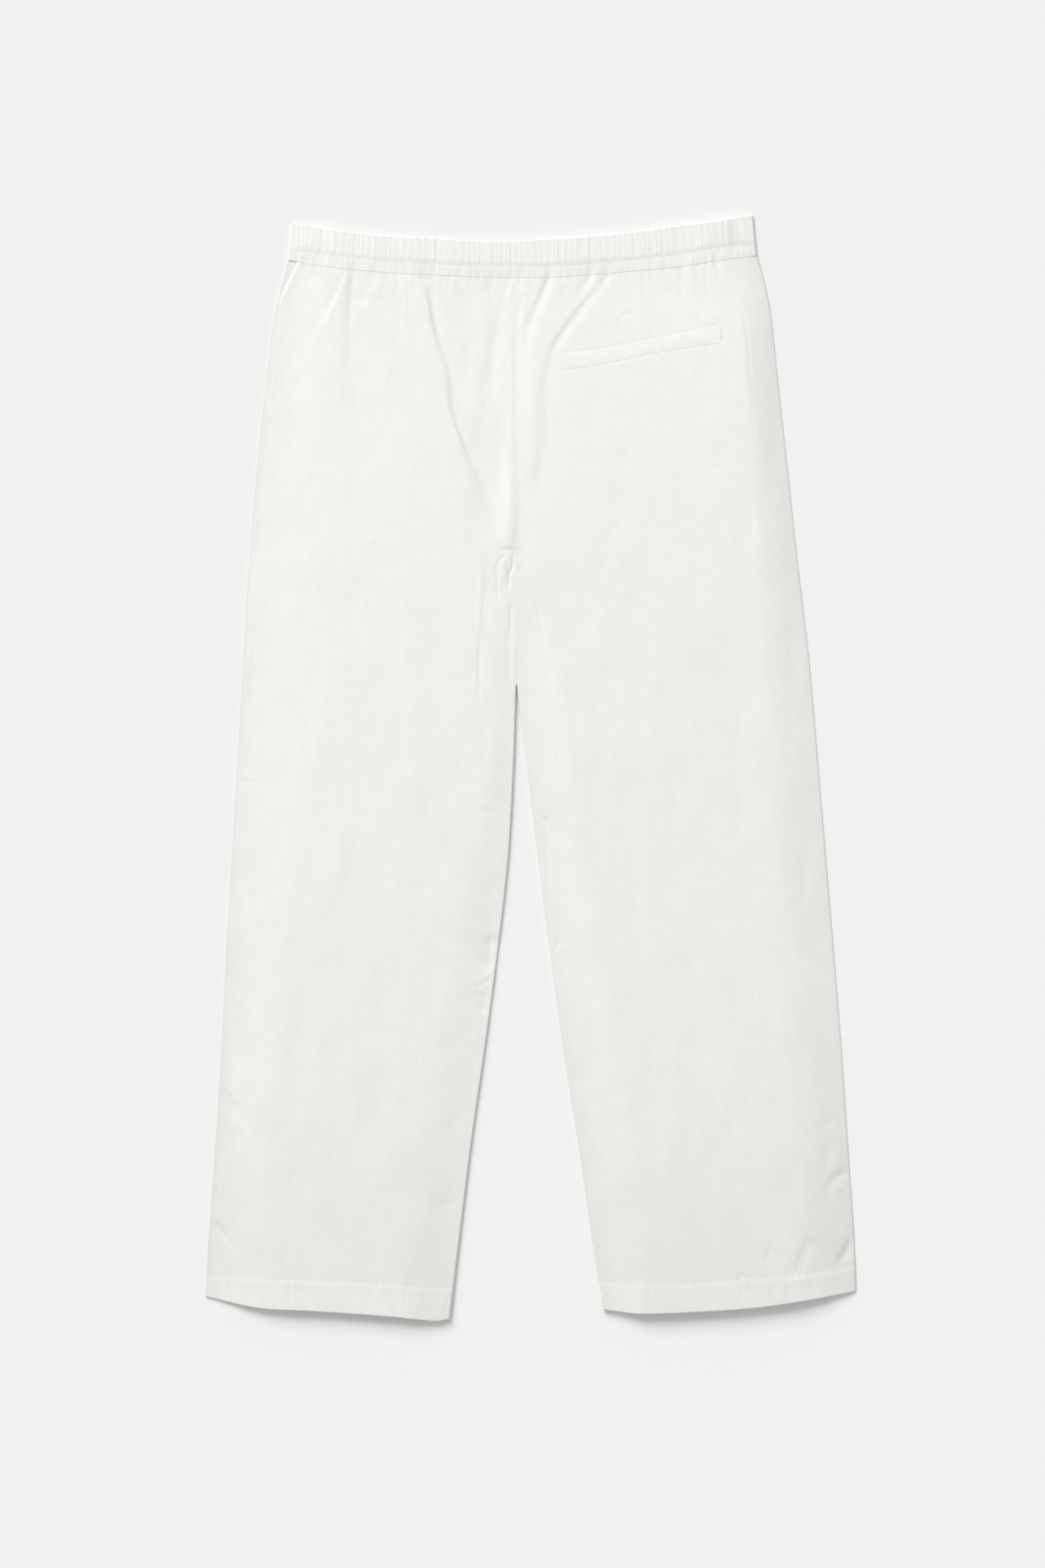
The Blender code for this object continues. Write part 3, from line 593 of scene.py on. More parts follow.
    Crease(-120.0, -500.0, -122.0, -524.0, 0.2, -0.21, 1.6, 1.8),
]
# The layer that lies on the surface has the like, small, because it's flat.
UNDER_CREASES = [
    Crease(-205.0, 470.0, -226.0, 410.0, 2.0, 0.7, 6.0, 8.0),
    Crease(-150.0, 470.0, -160.0, 380.0, 2.0, 0.8, 6.0, 9.0),
    Crease(-96.0, 468.0, -80.0, 360.0, 2.0, 0.9, 5.0, 10.0),
    Crease(-52.0, 468.0, -38.0, 300.0, -2.0, 0.8, 6.0, 8.0),
    Crease(36.0, 468.0, 16.0, 330.0, -2.0, 0.9, 8.0, 5.0),
    Crease(92.0, 472.0, 60.0, 400.0, 2.0, 0.8, 7.0, 5.0),
    Crease(150.0, 474.0, 168.0, 410.0, 2.0, 0.7, 6.0, 8.0),
    Crease(-60.0, 260.0, -24.0, 190.0, 2.0, 0.8, 7.0, 6.0),
    Crease(44.0, 262.0, 6.0, 196.0, 2.0, 0.8, 7.0, 6.0),
    Crease(-238.0, 120.0, -212.0, 60.0, 2.0, 0.5, 8.0, 8.0),
    Crease(-120.0, 60.0, -140.0, -60.0, 3.0, 0.5, 9.0, 9.0),
    Crease(-270.0, -90.0, -246.0, -120.0, 1.0, 0.6, 5.0, 6.0),
    Crease(-206.0, -160.0, -190.0, -300.0, 3.0, 0.5, 9.0, 9.0),
    Crease(-282.0, -300.0, -256.0, -340.0, 1.0, 0.7, 5.0, 6.0),
    Crease(-96.0, -250.0, -72.0, -222.0, 1.0, 0.6, 4.0, 5.0),
    Crease(-130.0, -380.0, -150.0, -450.0, 2.0, 0.5, 8.0, 8.0),
    Crease(60.0, 60.0, 82.0, -60.0, 3.0, 0.5, 9.0, 9.0),
    Crease(170.0, 120.0, 156.0, -20.0, 3.0, 0.5, 9.0, 9.0),
    Crease(244.0, 30.0, 266.0, -4.0, 1.0, 0.6, 5.0, 6.0),
    Crease(128.0, -150.0, 150.0, -290.0, 3.0, 0.5, 9.0, 9.0),
    Crease(46.0, -190.0, 66.0, -216.0, 1.0, 0.6, 4.0, 5.0),
    Crease(262.0, -260.0, 286.0, -300.0, 1.0, 0.6, 5.0, 6.0),
    Crease(210.0, -360.0, 196.0, -450.0, 2.0, 0.5, 8.0, 8.0),
    Crease(262.0, -420.0, 290.0, -446.0, 1.0, 0.6, 5.0, 6.0),
]

# Larger ridges of the gathered waistband, over the elastic: place, height,
# reach, and lean from the stitches to the top edge.
Gather = namedtuple("Gather", "x height reach lean")
GATHERS = [
    Gather(-226.5, 0.75, 1.5, 0.5),
    Gather(-219.5, 0.6, 1.2, -0.6),
    Gather(-195.0, 0.65, 1.3, 0.4),
    Gather(-165.5, 0.8, 1.4, 0.8),
    Gather(-152.5, 0.5, 1.2, -0.6),
    Gather(-142.0, 0.85, 1.5, -1.2),
    Gather(-125.5, 0.85, 1.5, 1.4),
    Gather(-118.0, 0.75, 1.3, -1.0),
    Gather(-94.5, 0.9, 1.5, 0.2),
    Gather(-80.0, 0.45, 1.2, 0.6),
    Gather(-61.0, 0.7, 1.4, 0.8),
    Gather(-38.0, 0.65, 1.5, -0.4),
    Gather(-24.5, 0.5, 1.2, 0.0),
    Gather(16.5, 0.9, 1.6, 0.3),
    Gather(43.5, 0.85, 1.4, 0.4),
    Gather(55.0, 0.5, 1.2, 1.6),
    Gather(72.5, 0.75, 1.4, -0.3),
    Gather(91.5, 0.5, 1.3, 0.6),
    Gather(107.5, 0.7, 1.4, 0.1),
    Gather(123.0, 0.85, 1.4, -0.9),
    Gather(140.5, 0.7, 1.4, -2.2),
    Gather(148.0, 0.8, 1.4, -1.4),
    Gather(166.5, 0.85, 1.4, -2.0),
    Gather(196.0, 0.6, 1.4, -2.6),
    Gather(213.0, 0.5, 1.4, 0.0),
]

Welt = namedtuple("Welt", "x upper_y lower_y")
WELT = [
    Welt(24.3, 399.0, 383.6),
    Welt(57.7, 402.6, 388.2),
    Welt(90.0, 408.0, 394.4),
    Welt(118.5, 413.5, 400.6),
    Welt(150.9, 420.3, 405.8),
    Welt(184.2, 427.0, 410.6),
]

# ------------------------------------------------------------------ numbers
_read = {}


def column_of(table, column):
    key = (id(table), column)
    if key not in _read:
        keys = np.array([row[0] for row in table], float)
        values = np.array([getattr(row, column) for row in table], float)
        if keys[0] > keys[-1]:
            keys, values = keys[::-1].copy(), values[::-1].copy()
        slopes = np.empty_like(values)
        slopes[1:-1] = (values[2:] - values[:-2]) / (keys[2:] - keys[:-2])
        slopes[0] = (values[1] - values[0]) / (keys[1] - keys[0])
        slopes[-1] = (values[-1] - values[-2]) / (keys[-1] - keys[-2])
        _read[key] = (keys, values, slopes)
    return _read[key]


def follow(table, column, at):
    """A smooth line through a table's column; the first column is the place."""
    keys, values, slopes = column_of(table, column)
    at = np.asarray(at, float)
    i = np.clip(np.searchsorted(keys, at, side="right") - 1, 0, len(keys) - 2)
    step = keys[i + 1] - keys[i]
    t = (at - keys[i]) / step
    inside = (
        values[i] * (1 + 2 * t) * (1 - t) ** 2
        + slopes[i] * step * t * (1 - t) ** 2
        + values[i + 1] * t * t * (3 - 2 * t)
        + slopes[i + 1] * step * t * t * (t - 1)
    )
    low = values[0] + slopes[0] * (at - keys[0])
    high = values[-1] + slopes[-1] * (at - keys[-1])
    return np.where(at <= keys[0], low, np.where(at >= keys[-1], high, inside))


def ease(t):
    t = np.clip(t, 0.0, 1.0)
    return t * t * (3 - 2 * t)


def bell(off, reach):
    return np.exp(-((off / reach) ** 2))


def unit(v):
    return v / np.maximum(np.linalg.norm(v, axis=-1, keepdims=True), 1e-12)


_turns = {}


def noise(x, y, cell_x, cell_y, seed):
    """Smooth noise, about -1 to 1, with cells of that size."""
    if seed not in _turns:
        turn = np.random.RandomState(seed).uniform(0, 2 * np.pi, (256, 256))
        _turns[seed] = (np.cos(turn), np.sin(turn))
    gx, gy = _turns[seed]
    u, v = np.asarray(x) / cell_x, np.asarray(y) / cell_y
    i, j = np.floor(u).astype(int), np.floor(v).astype(int)
    fu, fv = u - i, v - j

    def corner(a, b):
        p, q = (i + a) & 255, (j + b) & 255
        return gx[p, q] * (fu - a) + gy[p, q] * (fv - b)

    def fade(t):
        return t * t * t * (t * (6 * t - 15) + 10)

    s, t = fade(fu), fade(fv)
    upper = corner(0, 0) * (1 - s) + corner(1, 0) * s
    lower = corner(0, 1) * (1 - s) + corner(1, 1) * s
    return 1.5 * (upper * (1 - t) + lower * t)


# --------------------------------------------------- the lines of the garment
def sign(side):
    return -1.0 if side == LEFT else 1.0


def row_y(side, down, x):
    """The y of a line across the cloth, from the waist (0) to the hem (1)."""
    top = follow(WAIST, "seam_y", x) - 2 * SEAM_HALF
    hem = HEM[side]
    low = follow(hem, "y", np.clip(x, hem[0].x, hem[-1].x)) + HEM_WALL / 2
    return top + (low - top) * down


def down_at(side, x, y):
    top, low = row_y(side, 0.0, x), row_y(side, 1.0, x)
    return (top - y) / (top - low)


def meet(side, down, line):
    """Where a line across the cloth meets a line down it."""
    y = row_y(side, down, sign(side) * 150.0)
    for _ in range(8):
        y = row_y(side, down, line(y))
    return line(y), y


def outer_x(side, y):
    return follow(OUTER_EDGE, side, y)


def inner_x(side, y):
    return follow(INNER_EDGE, side, y)


def side_seam_x(side, y):
    return outer_x(side, y) - sign(side) * follow(SIDE_SEAM, side, y)


def centre_x(y):
    return follow(CENTRE_SEAM, "x", y)


def front_x(y):
    return follow(FRONT_SEAM, "x", y)


def back_inner_x(side, y):
    return np.where(
        y >= CROTCH_Y, centre_x(y), follow(INSEAM[side], "x", y)
    )


def leg_x(side, y):
    """The line that the warp follows, down the middle of the leg."""
    if side == LEFT:
        return -137.0 + (y - 200.0) * 0.083
    return 128.0 - (y - 200.0) * 0.091


# ------------------------------------------------------------------- relief
def fold_sum(x, y):
    total = np.zeros_like(x)
    for rows in FOLDS.values():
        top, low = rows[0].y, rows[-1].y
        near = (y > low - 18.0) & (y < top + 10.0)
        if not near.any():
            continue
        px, py = x[near], y[near]
        at = np.clip(py, low, top)
        gone = np.where(py > top, ease((py - top) / 10.0), ease((low - py) / 18.0))
        off = px - follow(rows, "x", at)
        left = np.maximum(follow(rows, "left", at), 0.5)
        right = np.maximum(follow(rows, "right", at), 0.5)
        total[near] += (
            follow(rows, "height", at)
            * (1.0 - gone)
            * bell(off, np.where(off < 0, left, right))
        )
    return total


def crease_sum(table, x, y):
    total = np.zeros_like(x)
    for k in table:
        dx, dy = k.x1 - k.x0, k.y1 - k.y0
        length = math.hypot(dx, dy)
        tx, ty = dx / length, dy / length
        room = 3.0 * max(k.plus, k.minus) + abs(k.bow) + 0.2 * length
        near = (
            (x > min(k.x0, k.x1) - room)
            & (x < max(k.x0, k.x1) + room)
            & (y > min(k.y0, k.y1) - room)
            & (y < max(k.y0, k.y1) + room)
        )
        if not near.any():
            continue
        px, py = x[near] - k.x0, y[near] - k.y0
        along = (px * tx + py * ty) / length
        bow = k.bow * 4 * np.clip(along * (1 - along), -0.1, 1.0)
        off = px * -ty + py * tx - bow
        # Those that run in from an outer fold die away slowly.
        fade = 0.72 if abs(k.x0) > 280.0 and k.y0 > -480.0 else 0.34
        ends = ease((along + 0.12) / 0.34) * ease((1.12 - along) / fade)
        total[near] += k.height * ends * bell(off, np.where(off > 0, k.plus, k.minus))
    return total


_puckers = []


def waist_puckers(x, y, seed):
    """Small gathers that hang from the waistband's seam and fade out."""
    rows = [p for p in _puckers if p[0] == seed]
    if not rows:
        rnd = np.random.RandomState(seed)
        at = -232.0
        while at < 214.0:
            rows.append(
                (
                    seed,
                    at,
                    rnd.uniform(-0.42, 0.42),
                    rnd.uniform(1.6, 3.4),
                    rnd.uniform(6.0, 20.0),
                    rnd.uniform(-0.25, 0.25),
                )
            )
            at += rnd.uniform(4.5, 9.5)
        _puckers.extend(rows)
    total = np.zeros_like(x)
    fall = follow(WAIST, "seam_y", x) - y
    near = fall < 60.0
    px, pf = x[near], np.maximum(fall[near], 0.0)
    part = np.zeros_like(px)
    for _, at, high, wide, long, lean in rows:
        part += high * bell(px - at - lean * pf, wide + pf * 0.06) * np.exp(-((pf / long) ** 1.5))
    total[near] = part
    return total


def crumple(side, x, y, seed=40):
    """The unevenness of washed linen: shallow, longer down the leg."""
    s = x - leg_x(side, y)
    wander = 7.0 * noise(x, y, 90.0, 120.0, seed)
    s = s + wander
    z = 0.34 * noise(s, y, 34.0, 62.0, seed + 1)
    z += 0.15 * noise(s + 0.3 * y, y, 15.0, 26.0, seed + 2)
    z += 0.04 * noise(s - 0.2 * y, y, 6.0, 11.0, seed + 3)
    # Soft ridges where two shallow slopes meet.
    z += 0.17 * (0.35 - np.abs(noise(s, y + 0.3 * s, 17.0, 60.0, seed + 4)))
    z += 0.10 * (0.35 - np.abs(noise(s + 0.5 * y, y, 24.0, 26.0, seed + 5)))
    return z


def hem_step(side, x, y):
    """The cloth turned up inside a hem lifts it below the stitches, which
    pucker it here and there."""
    line = follow(HEM_STITCH[side], "y", x)
    off = line - y
    z = HEM_RISE * ease((off + 3.0) / 7.5)
    z -= 0.07 * bell(off, 1.4)
    z += 0.06 * bell(off - 5.0, 3.6)
    tight = 0.3 + np.clip(noise(x, x * 0.0, 26.0, 1.0, 63) + 0.2, 0.0, 1.0)
    if side == RIGHT:
        tight = tight + 0.8 * bell(x - 270.0, 16.0) + 0.6 * bell(x - 208.0, 9.0)
    z += 0.13 * tight * noise(x + 0.25 * off, off, 3.1, 22.0, 64) * bell(off - 1.0, 6.0)
    wave = noise(x, y, 7.0, 30.0, 61) * 0.07 + noise(x, y, 16.0, 60.0, 62) * 0.16
    return z + wave * ease((off + 4.0) / 8.0)


def seam_relief(side, x, y):
    """Shallow grooves where two pieces are sewn, drawn in here and there by
    the stitches, and the thickness of the allowance beside them."""
    way = sign(side)
    z = np.zeros_like(x)
    pull = 0.6 + 0.9 * np.clip(noise(x * 0.0, y, 1.0, 4.2, 71) + 0.25, 0, 1)
    off = way * (x - side_seam_x(side, y))
    depth = follow(SEAM_DEPTH, "side_" + side, y)
    z -= depth * (pull if side == RIGHT else 1.0) * bell(off, 0.8 + 0.5 * (depth > 0.2))
    z += follow(SEAM_DEPTH, "ridge", y) * ease(1.0 + off / 10.0) * (off < 0) * ease(-off / 3.0)
    off = way * (x - back_inner_x(side, y))
    depth = follow(SEAM_DEPTH, "inner_" + side, y)
    z -= depth * bell(off, 1.1)
    z += follow(SEAM_DEPTH, "ridge", y) * ease(1.0 - off / 9.0) * (off > 0) * ease(off / 3.0)
    return z


def pocket_relief(x, y):
    """The pocket pressed into the panel: a line of stitches above the welt,
    and the faint outline of the bag below it."""
    up = follow(WELT, "upper_y", x)
    low = follow(WELT, "lower_y", x)
    ends = ease((x - 23.0) / 12.0) * ease((188.0 - x) / 4.0)
    z = -0.12 * bell(y - up - 3.4, 0.8) * ease((x - 96.0) / 30.0) * ease((188.0 - x) / 4.0)
    z -= 0.05 * bell(y - low + 0.8, 1.2) * ends
    z -= 0.06 * bell(y - up - 0.4, 1.2) * ends
    z += 0.09 * ease((low - y) / 4.0) * ease((y - low + 56.0) / 9.0) * ends
    z -= 0.06 * bell(y - low + 52.0, 3.0) * ease((x - 60.0) / 20.0) * ease((150.0 - x) / 20.0)
    return z


def both_sides(x, y):
    """0 in the left half, 1 in the right, and smooth across the centre."""
    return ease((x - centre_x(np.maximum(y, GAP_TOP_Y)) + 36.0) / 72.0)


def loft(side, column, x, y, shared):
    """A value of LOFT, which the two halves share near the centre."""
    if not shared:
        return follow(LOFT[side], column, y)
    m = both_sides(x, y)
    one = follow(LOFT[LEFT], column, y) * (1 - m) + follow(LOFT[RIGHT], column, y) * m
    near = ease((y - GAP_TOP_Y + 60.0) / 60.0)
    return follow(LOFT[side], column, y) * (1 - near) + one * near


def top_height(side, x, y):
    """The upper face of the upper layer."""
    table = LOFT[side]
    outer, inner = follow(table, "outer", y), loft(side, "inner", x, y, True)
    middle = loft(side, "middle", x, y, True)
    out = np.abs(outer_x(side, y) - x) - outer
    lower = np.minimum(y, GAP_TOP_Y)
    into = np.hypot(
        np.maximum(np.abs(inner_x(side, lower) - x) - loft(side, "inner", x, lower, True), 0.0),
        0.4 * (y - lower),
    )
    a = np.clip(out / follow(table, "outer_reach", y), 0.0, 1.0)
    # The right side is filled right up to its fold; the left lies flatter.
    a = ease(a) if side == LEFT else 0.25 * ease(a) + 0.75 * np.sin(np.pi / 2 * a)
    b = ease(into / loft(side, "inner_reach", x, y, True))
    z = 2 * outer + (middle - 2 * outer) * a
    z = 2 * inner + (z - 2 * inner) * b
    full = ease((out + 1.0) / 9.0)
    inwards = ease((into + 1.0) / 9.0)
    z = z + fold_sum(x, y) * ease((out + 2.0) / 8.0)
    relief = crease_sum(CREASES, x, y) + waist_puckers(x, y, 21)
    m = both_sides(x, y)
    relief += (crumple(LEFT, x, y) * (1 - m) + crumple(RIGHT, x, y) * m) * (0.5 + 0.5 * full * inwards)
    relief += seam_relief(side, x, y)
    if side == RIGHT:
        relief += pocket_relief(x, y)
    z = z + relief * (0.35 + 0.65 * full * inwards) + hem_step(side, x, y)
    return np.maximum(z, 1.0)


def painted_shade_and_tone(side, x, y):
    """Painted shade, darker and warmer: along the folded edges, round the inner edges and the gap, under the
    waistband's seam, round the crotch where four panels meet, and towards the hems; and the uneven tone of washed
    cloth."""
    # Painted shade along the outer folded edge, and round the inner edge and the gap.
    edge = np.abs(outer_x(side, y) - x)
    total = 3.0 * np.exp(-edge / 24.0) + 7.0 * bell(edge, 1.8)
    lower = np.minimum(y, GAP_TOP_Y)
    inner = np.hypot(inner_x(side, lower) - x, y - lower)
    total = total + 2.5 * np.exp(-inner / 24.0) + 4.0 * bell(inner, 1.8)
    # Painted shade where the waistband gathers the panels.
    total = total + 2.0 * np.exp(-np.maximum(follow(WAIST, "seam_y", x) - y, 0.0) / 35.0)
    # Painted shade, warm, round the crotch, where the allowances of four panels lie together.
    total = total + 4.0 * bell(np.hypot(x - centre_x(y), 0.5 * (y - CROTCH_Y + 10.0)), 28.0)
    # Painted shade, darker towards the hems.
    total = total + 5.0 * ease((-240.0 - y) / 300.0)
    # Uneven, as cloth is that has been washed and pressed.
    total = total + 1.3 * noise(x, y, 46.0, 80.0, 141) + 0.8 * noise(x, y, 21.0, 40.0, 142)
    return np.maximum(total, 0.0)


def under_height(side, x, y):
    """The lower face of the lower layer: flat, with shallow hollows."""
    near = crease_sum(UNDER_CREASES, x, y)
    near += 0.5 * np.maximum(waist_puckers(x, y, 22), 0.0)
    near += 0.5 * np.maximum(crumple(side, x, y, 50), 0.0)
    line = follow(HEM_STITCH[side], "y", x)
    near += 0.35 * bell(y - line, 1.0)
    return np.maximum(near, 0.0)


# ------------------------------------------------------------------- meshes
def new_mesh(name, points, faces, smooth=True):
    """faces is a list of index arrays, each of one size of polygon, or lists."""
    loops, totals = [], []
    for part in faces:
        if isinstance(part, np.ndarray):
            loops.append(part.reshape(-1))
            totals.append(np.full(len(part), part.shape[1]))
        else:
            loops.append(np.array([i for ring in part for i in ring], int))
            totals.append(np.array([len(ring) for ring in part], int))
    loops, totals = np.concatenate(loops), np.concatenate(totals)
    starts = np.concatenate([[0], np.cumsum(totals)[:-1]])
    mesh = bpy.data.meshes.new(name)
    mesh.vertices.add(len(points))
    mesh.vertices.foreach_set("co", ((points + SHIFT) * MM).astype(np.float32).reshape(-1))
    mesh.loops.add(len(loops))
    mesh.loops.foreach_set("vertex_index", loops.astype(np.int32))
    mesh.polygons.add(len(totals))
    mesh.polygons.foreach_set("loop_start", starts.astype(np.int32))
    mesh.update(calc_edges=True)
    mesh.validate()
    mesh.polygons.foreach_set("use_smooth", np.full(len(mesh.polygons), smooth))
    return mesh, loops


def sharpen(mesh, lines):
    """Mark the edges between these pairs of points as sharp."""
    ends = np.empty(2 * len(mesh.edges), np.int32)
    mesh.edges.foreach_get("vertices", ends)
    ends = np.sort(ends.reshape(-1, 2).astype(np.int64), axis=1)
    lines = np.sort(lines.astype(np.int64), axis=1)
    many = len(mesh.vertices)
    sharp = np.isin(ends[:, 0] * many + ends[:, 1], lines[:, 0] * many + lines[:, 1])
    mark = mesh.attributes.new("sharp_edge", "BOOLEAN", "EDGE")
    mark.data.foreach_set("value", sharp)


def put(name, mesh, material):
    item = bpy.data.objects.new(name, mesh)
    bpy.context.scene.collection.objects.link(item)
    mesh.materials.append(material)
    return item


def set_point_values(mesh, cloth, doubled, deep):
    field = mesh.attributes.new("cloth_mm", "FLOAT_VECTOR", "POINT")
    field.data.foreach_set("vector", cloth.astype(np.float32).reshape(-1))
    for name, values in (("doubled", doubled), ("deep", deep)):
        field = mesh.attributes.new(name, "FLOAT", "POINT")
        field.data.foreach_set("value", values.astype(np.float32).reshape(-1))


def set_uv(mesh, loops, uv):
    layer = mesh.uv_layers.new(name="OFBake")
    layer.data.foreach_set("uv", uv[loops].astype(np.float32).reshape(-1))


def grid_normals(points):
    """Unit normals of a grid of points, along rows x columns."""
    return unit(np.cross(np.gradient(points, axis=1), np.gradient(points, axis=0)))


def shell(name, outer, inner, cells, cloth, doubled, deep, material, bulge, turns=3, coarse=None):
    """A closed thin wall: an outer and an inner grid with a rounded rim.

    cells says which cells of the grid are there, and bulge how far the rim
    stands out: half the wall at a folded edge, hardly at all in a seam.  With
    coarse, the inside is made of larger cells, that many rows and columns of
    the grid each.
    """
    rows, cols = outer.shape[:2]
    used = np.zeros((rows, cols), bool)
    for a in (0, 1):
        for b in (0, 1):
            used[a : rows - 1 + a, b : cols - 1 + b] |= cells
    out_id = np.full((rows, cols), -1)
    count = int(used.sum())
    out_id[used] = np.arange(count)
    n_out = unit(outer - inner)
    wall = np.linalg.norm(outer - inner, axis=-1)

    r, c = np.nonzero(cells)
    corners = [(r, c), (r + 1, c), (r + 1, c + 1), (r, c + 1)]
    first = np.cross(
        outer[corners[1]] - outer[corners[0]], outer[corners[3]] - outer[corners[0]]
    )
    flip = float((first * n_out[corners[0]]).sum()) < 0
    if flip:
        corners = [corners[0], corners[3], corners[2], corners[1]]
    quads = np.stack([out_id[k] for k in corners], 1)

    padded = np.zeros((rows + 1, cols + 1), bool)
    padded[1:-1, 1:-1] = cells
    sides = [
        ((0, 0), (1, 0), padded[1:-1, :-2]),
        ((1, 0), (1, 1), padded[2:, 1:-1]),
        ((1, 1), (0, 1), padded[1:-1, 2:]),
        ((0, 1), (0, 0), padded[:-2, 1:-1]),
    ]
    tails, heads = [], []
    for a, b, beyond in sides:
        r, c = np.nonzero(cells & ~beyond)
        tail, head = (r + a[0], c + a[1]), (r + b[0], c + b[1])
        if flip:
            tail, head = head, tail
        tails.append(np.stack(tail, 1))
        heads.append(np.stack(head, 1))
    tails, heads = np.concatenate(tails), np.concatenate(heads)
    out_way = np.zeros((rows, cols, 3))
    edge = unit(outer[heads[:, 0], heads[:, 1]] - outer[tails[:, 0], tails[:, 1]])
    way = unit(np.cross(edge, n_out[tails[:, 0], tails[:, 1]]))
    np.add.at(out_way, (tails[:, 0], tails[:, 1]), way)
    np.add.at(out_way, (heads[:, 0], heads[:, 1]), way)
    out_way = unit(out_way)
    rim = np.zeros((rows, cols), bool)
    rim[tails[:, 0], tails[:, 1]] = True
    rim_count = int(rim.sum())

    points = [outer[used]]
    marks = [cloth[used]]
    twice = [doubled[used]]
    depths = [deep[used]]
    grid_u = np.broadcast_to(np.linspace(0.0, 1.0, cols)[None, :], (rows, cols))
    grid_v = np.broadcast_to(np.linspace(0.0, 1.0, rows)[:, None], (rows, cols))
    share = 0.62 if coarse is None else 0.82
    uv_out = np.stack([0.01 + (share - 0.02) * grid_u, 0.01 + 0.98 * grid_v], -1)
    uv_in = np.stack([share + 0.01 + (0.98 - share) * grid_u, 0.01 + 0.98 * grid_v], -1)
    uv = [uv_out[used]]
    faces = [quads]
    last = np.where(rim, out_id, -1)
    mid = (outer + inner) / 2
    for k in range(1, turns):
        turn = math.pi * k / turns
        ring = (
            mid
            + n_out * (wall[..., None] / 2) * math.cos(turn)
            + out_way * bulge[..., None] * math.sin(turn)
        )
        ids = np.full((rows, cols), -1)
        ids[rim] = count + np.arange(rim_count)
        count += rim_count
        points.append(ring[rim])
        marks.append(cloth[rim])
        twice.append(doubled[rim])
        depths.append(deep[rim])
        uv.append(uv_out[rim])
        t, h = (tails[:, 0], tails[:, 1]), (heads[:, 0], heads[:, 1])
        faces.append(np.stack([last[h], last[t], ids[t], ids[h]], 1))
        last = ids

    in_id = np.full((rows, cols), -1)
    if coarse is None:
        keep = used
    else:
        keep = rim.copy()
        keep[:: coarse[0], :: coarse[1]] = True
    in_id[keep] = count + np.arange(int(keep.sum()))
    points.append(inner[keep])
    marks.append(cloth[keep])
    twice.append(doubled[keep])
    depths.append(deep[keep])
    uv.append(uv_in[keep])
    rim_faces = np.stack([last[h], last[t], in_id[t], in_id[h]], 1)
    rim_uv = len(faces)
    faces.append(rim_faces)
    if coarse is None:
        faces.append(np.stack([in_id[k] for k in reversed(corners)], 1))
    else:
        rings = []
        dr, dc = coarse
        for a in range(0, rows - 1, dr):
            for b in range(0, cols - 1, dc):
                ring = [in_id[a, b]]
                down = range(a + 1, a + dr) if b == 0 else ()
                ring += [in_id[i, b] for i in down]
                ring.append(in_id[a + dr, b])
                right = range(b + 1, b + dc) if a + dr == rows - 1 else ()
                ring += [in_id[a + dr, j] for j in right]
                ring.append(in_id[a + dr, b + dc])
                back = range(a + dr - 1, a, -1) if b + dc == cols - 1 else ()
                ring += [in_id[i, b + dc] for i in back]
                ring.append(in_id[a, b + dc])
                home = range(b + dc - 1, b, -1) if a == 0 else ()
                ring += [in_id[a, j] for j in home]
                rings.append([int(i) for i in (ring if flip else ring[::-1])])
        faces.append(rings)
    points = np.concatenate(points)
    mesh, loops = new_mesh(name, points, faces)
    set_point_values(
        mesh, np.concatenate(marks), np.concatenate(twice), np.concatenate(depths)
    )
    # A square rim is shaded square.
    square = (bulge[t] < 0.1) & (bulge[h] < 0.1)
    lines = np.concatenate(
        [
            np.stack([ids_of[t][square], ids_of[h][square]], 1)
            for ids_of in (out_id, in_id)
        ]
    )
    sharpen(mesh, lines)
    uv = np.concatenate(uv)
    corner_uv = uv[loops]
    # The rim's last faces take the outer edge's place on the map.
    before = sum(p.size for p in faces[:rim_uv])
    size = rim_faces.size
    corner_uv[before : before + size].reshape(-1, 4, 2)[:, 2] = uv[rim_faces[:, 1]]
    corner_uv[before : before + size].reshape(-1, 4, 2)[:, 3] = uv[rim_faces[:, 0]]
    layer = mesh.uv_layers.new(name="OFBake")
    layer.data.foreach_set("uv", corner_uv.astype(np.float32).reshape(-1))
    return put(name, mesh, material)


# ---------------------------------------------------------------- materials
def nodes_of(material):
    material.use_nodes = True
    tree = material.node_tree
    return tree, tree.nodes["Principled BSDF"]


def math_node(tree, what, a, b=None, c=None):
    node = tree.nodes.new("ShaderNodeMath")
    node.operation = what
    for i, value in enumerate((a, b, c)):
        if value is None:
            continue
        if isinstance(value, (int, float)):
            node.inputs[i].default_value = value
        else:
            tree.links.new(value, node.inputs[i])
    return node.outputs[0]


def place_vector(tree, u, v, scale_u, scale_v, depth=0.0):
    node = tree.nodes.new("ShaderNodeCombineXYZ")
    tree.links.new(math_node(tree, "MULTIPLY", u, scale_u), node.inputs[0])
    tree.links.new(math_node(tree, "MULTIPLY", v, scale_v), node.inputs[1])
    node.inputs[2].default_value = depth
    return node.outputs[0]


def noise_node(tree, vector, detail=2.0, rough=0.55, scale=1.0):
    node = tree.nodes.new("ShaderNodeTexNoise")
    node.inputs["Scale"].default_value = scale
    node.inputs["Detail"].default_value = detail
    node.inputs["Roughness"].default_value = rough
    tree.links.new(vector, node.inputs["Vector"])
    return node.outputs["Fac"]


def ramp(tree, value, low, high, to_low=0.0, to_high=1.0):
    node = tree.nodes.new("ShaderNodeMapRange")
    node.clamp = True
    tree.links.new(value, node.inputs["Value"])
    for name, number in (
        ("From Min", low),
        ("From Max", high),
        ("To Min", to_low),
        ("To Max", to_high),
    ):
        node.inputs[name].default_value = number
    return node.outputs["Result"]


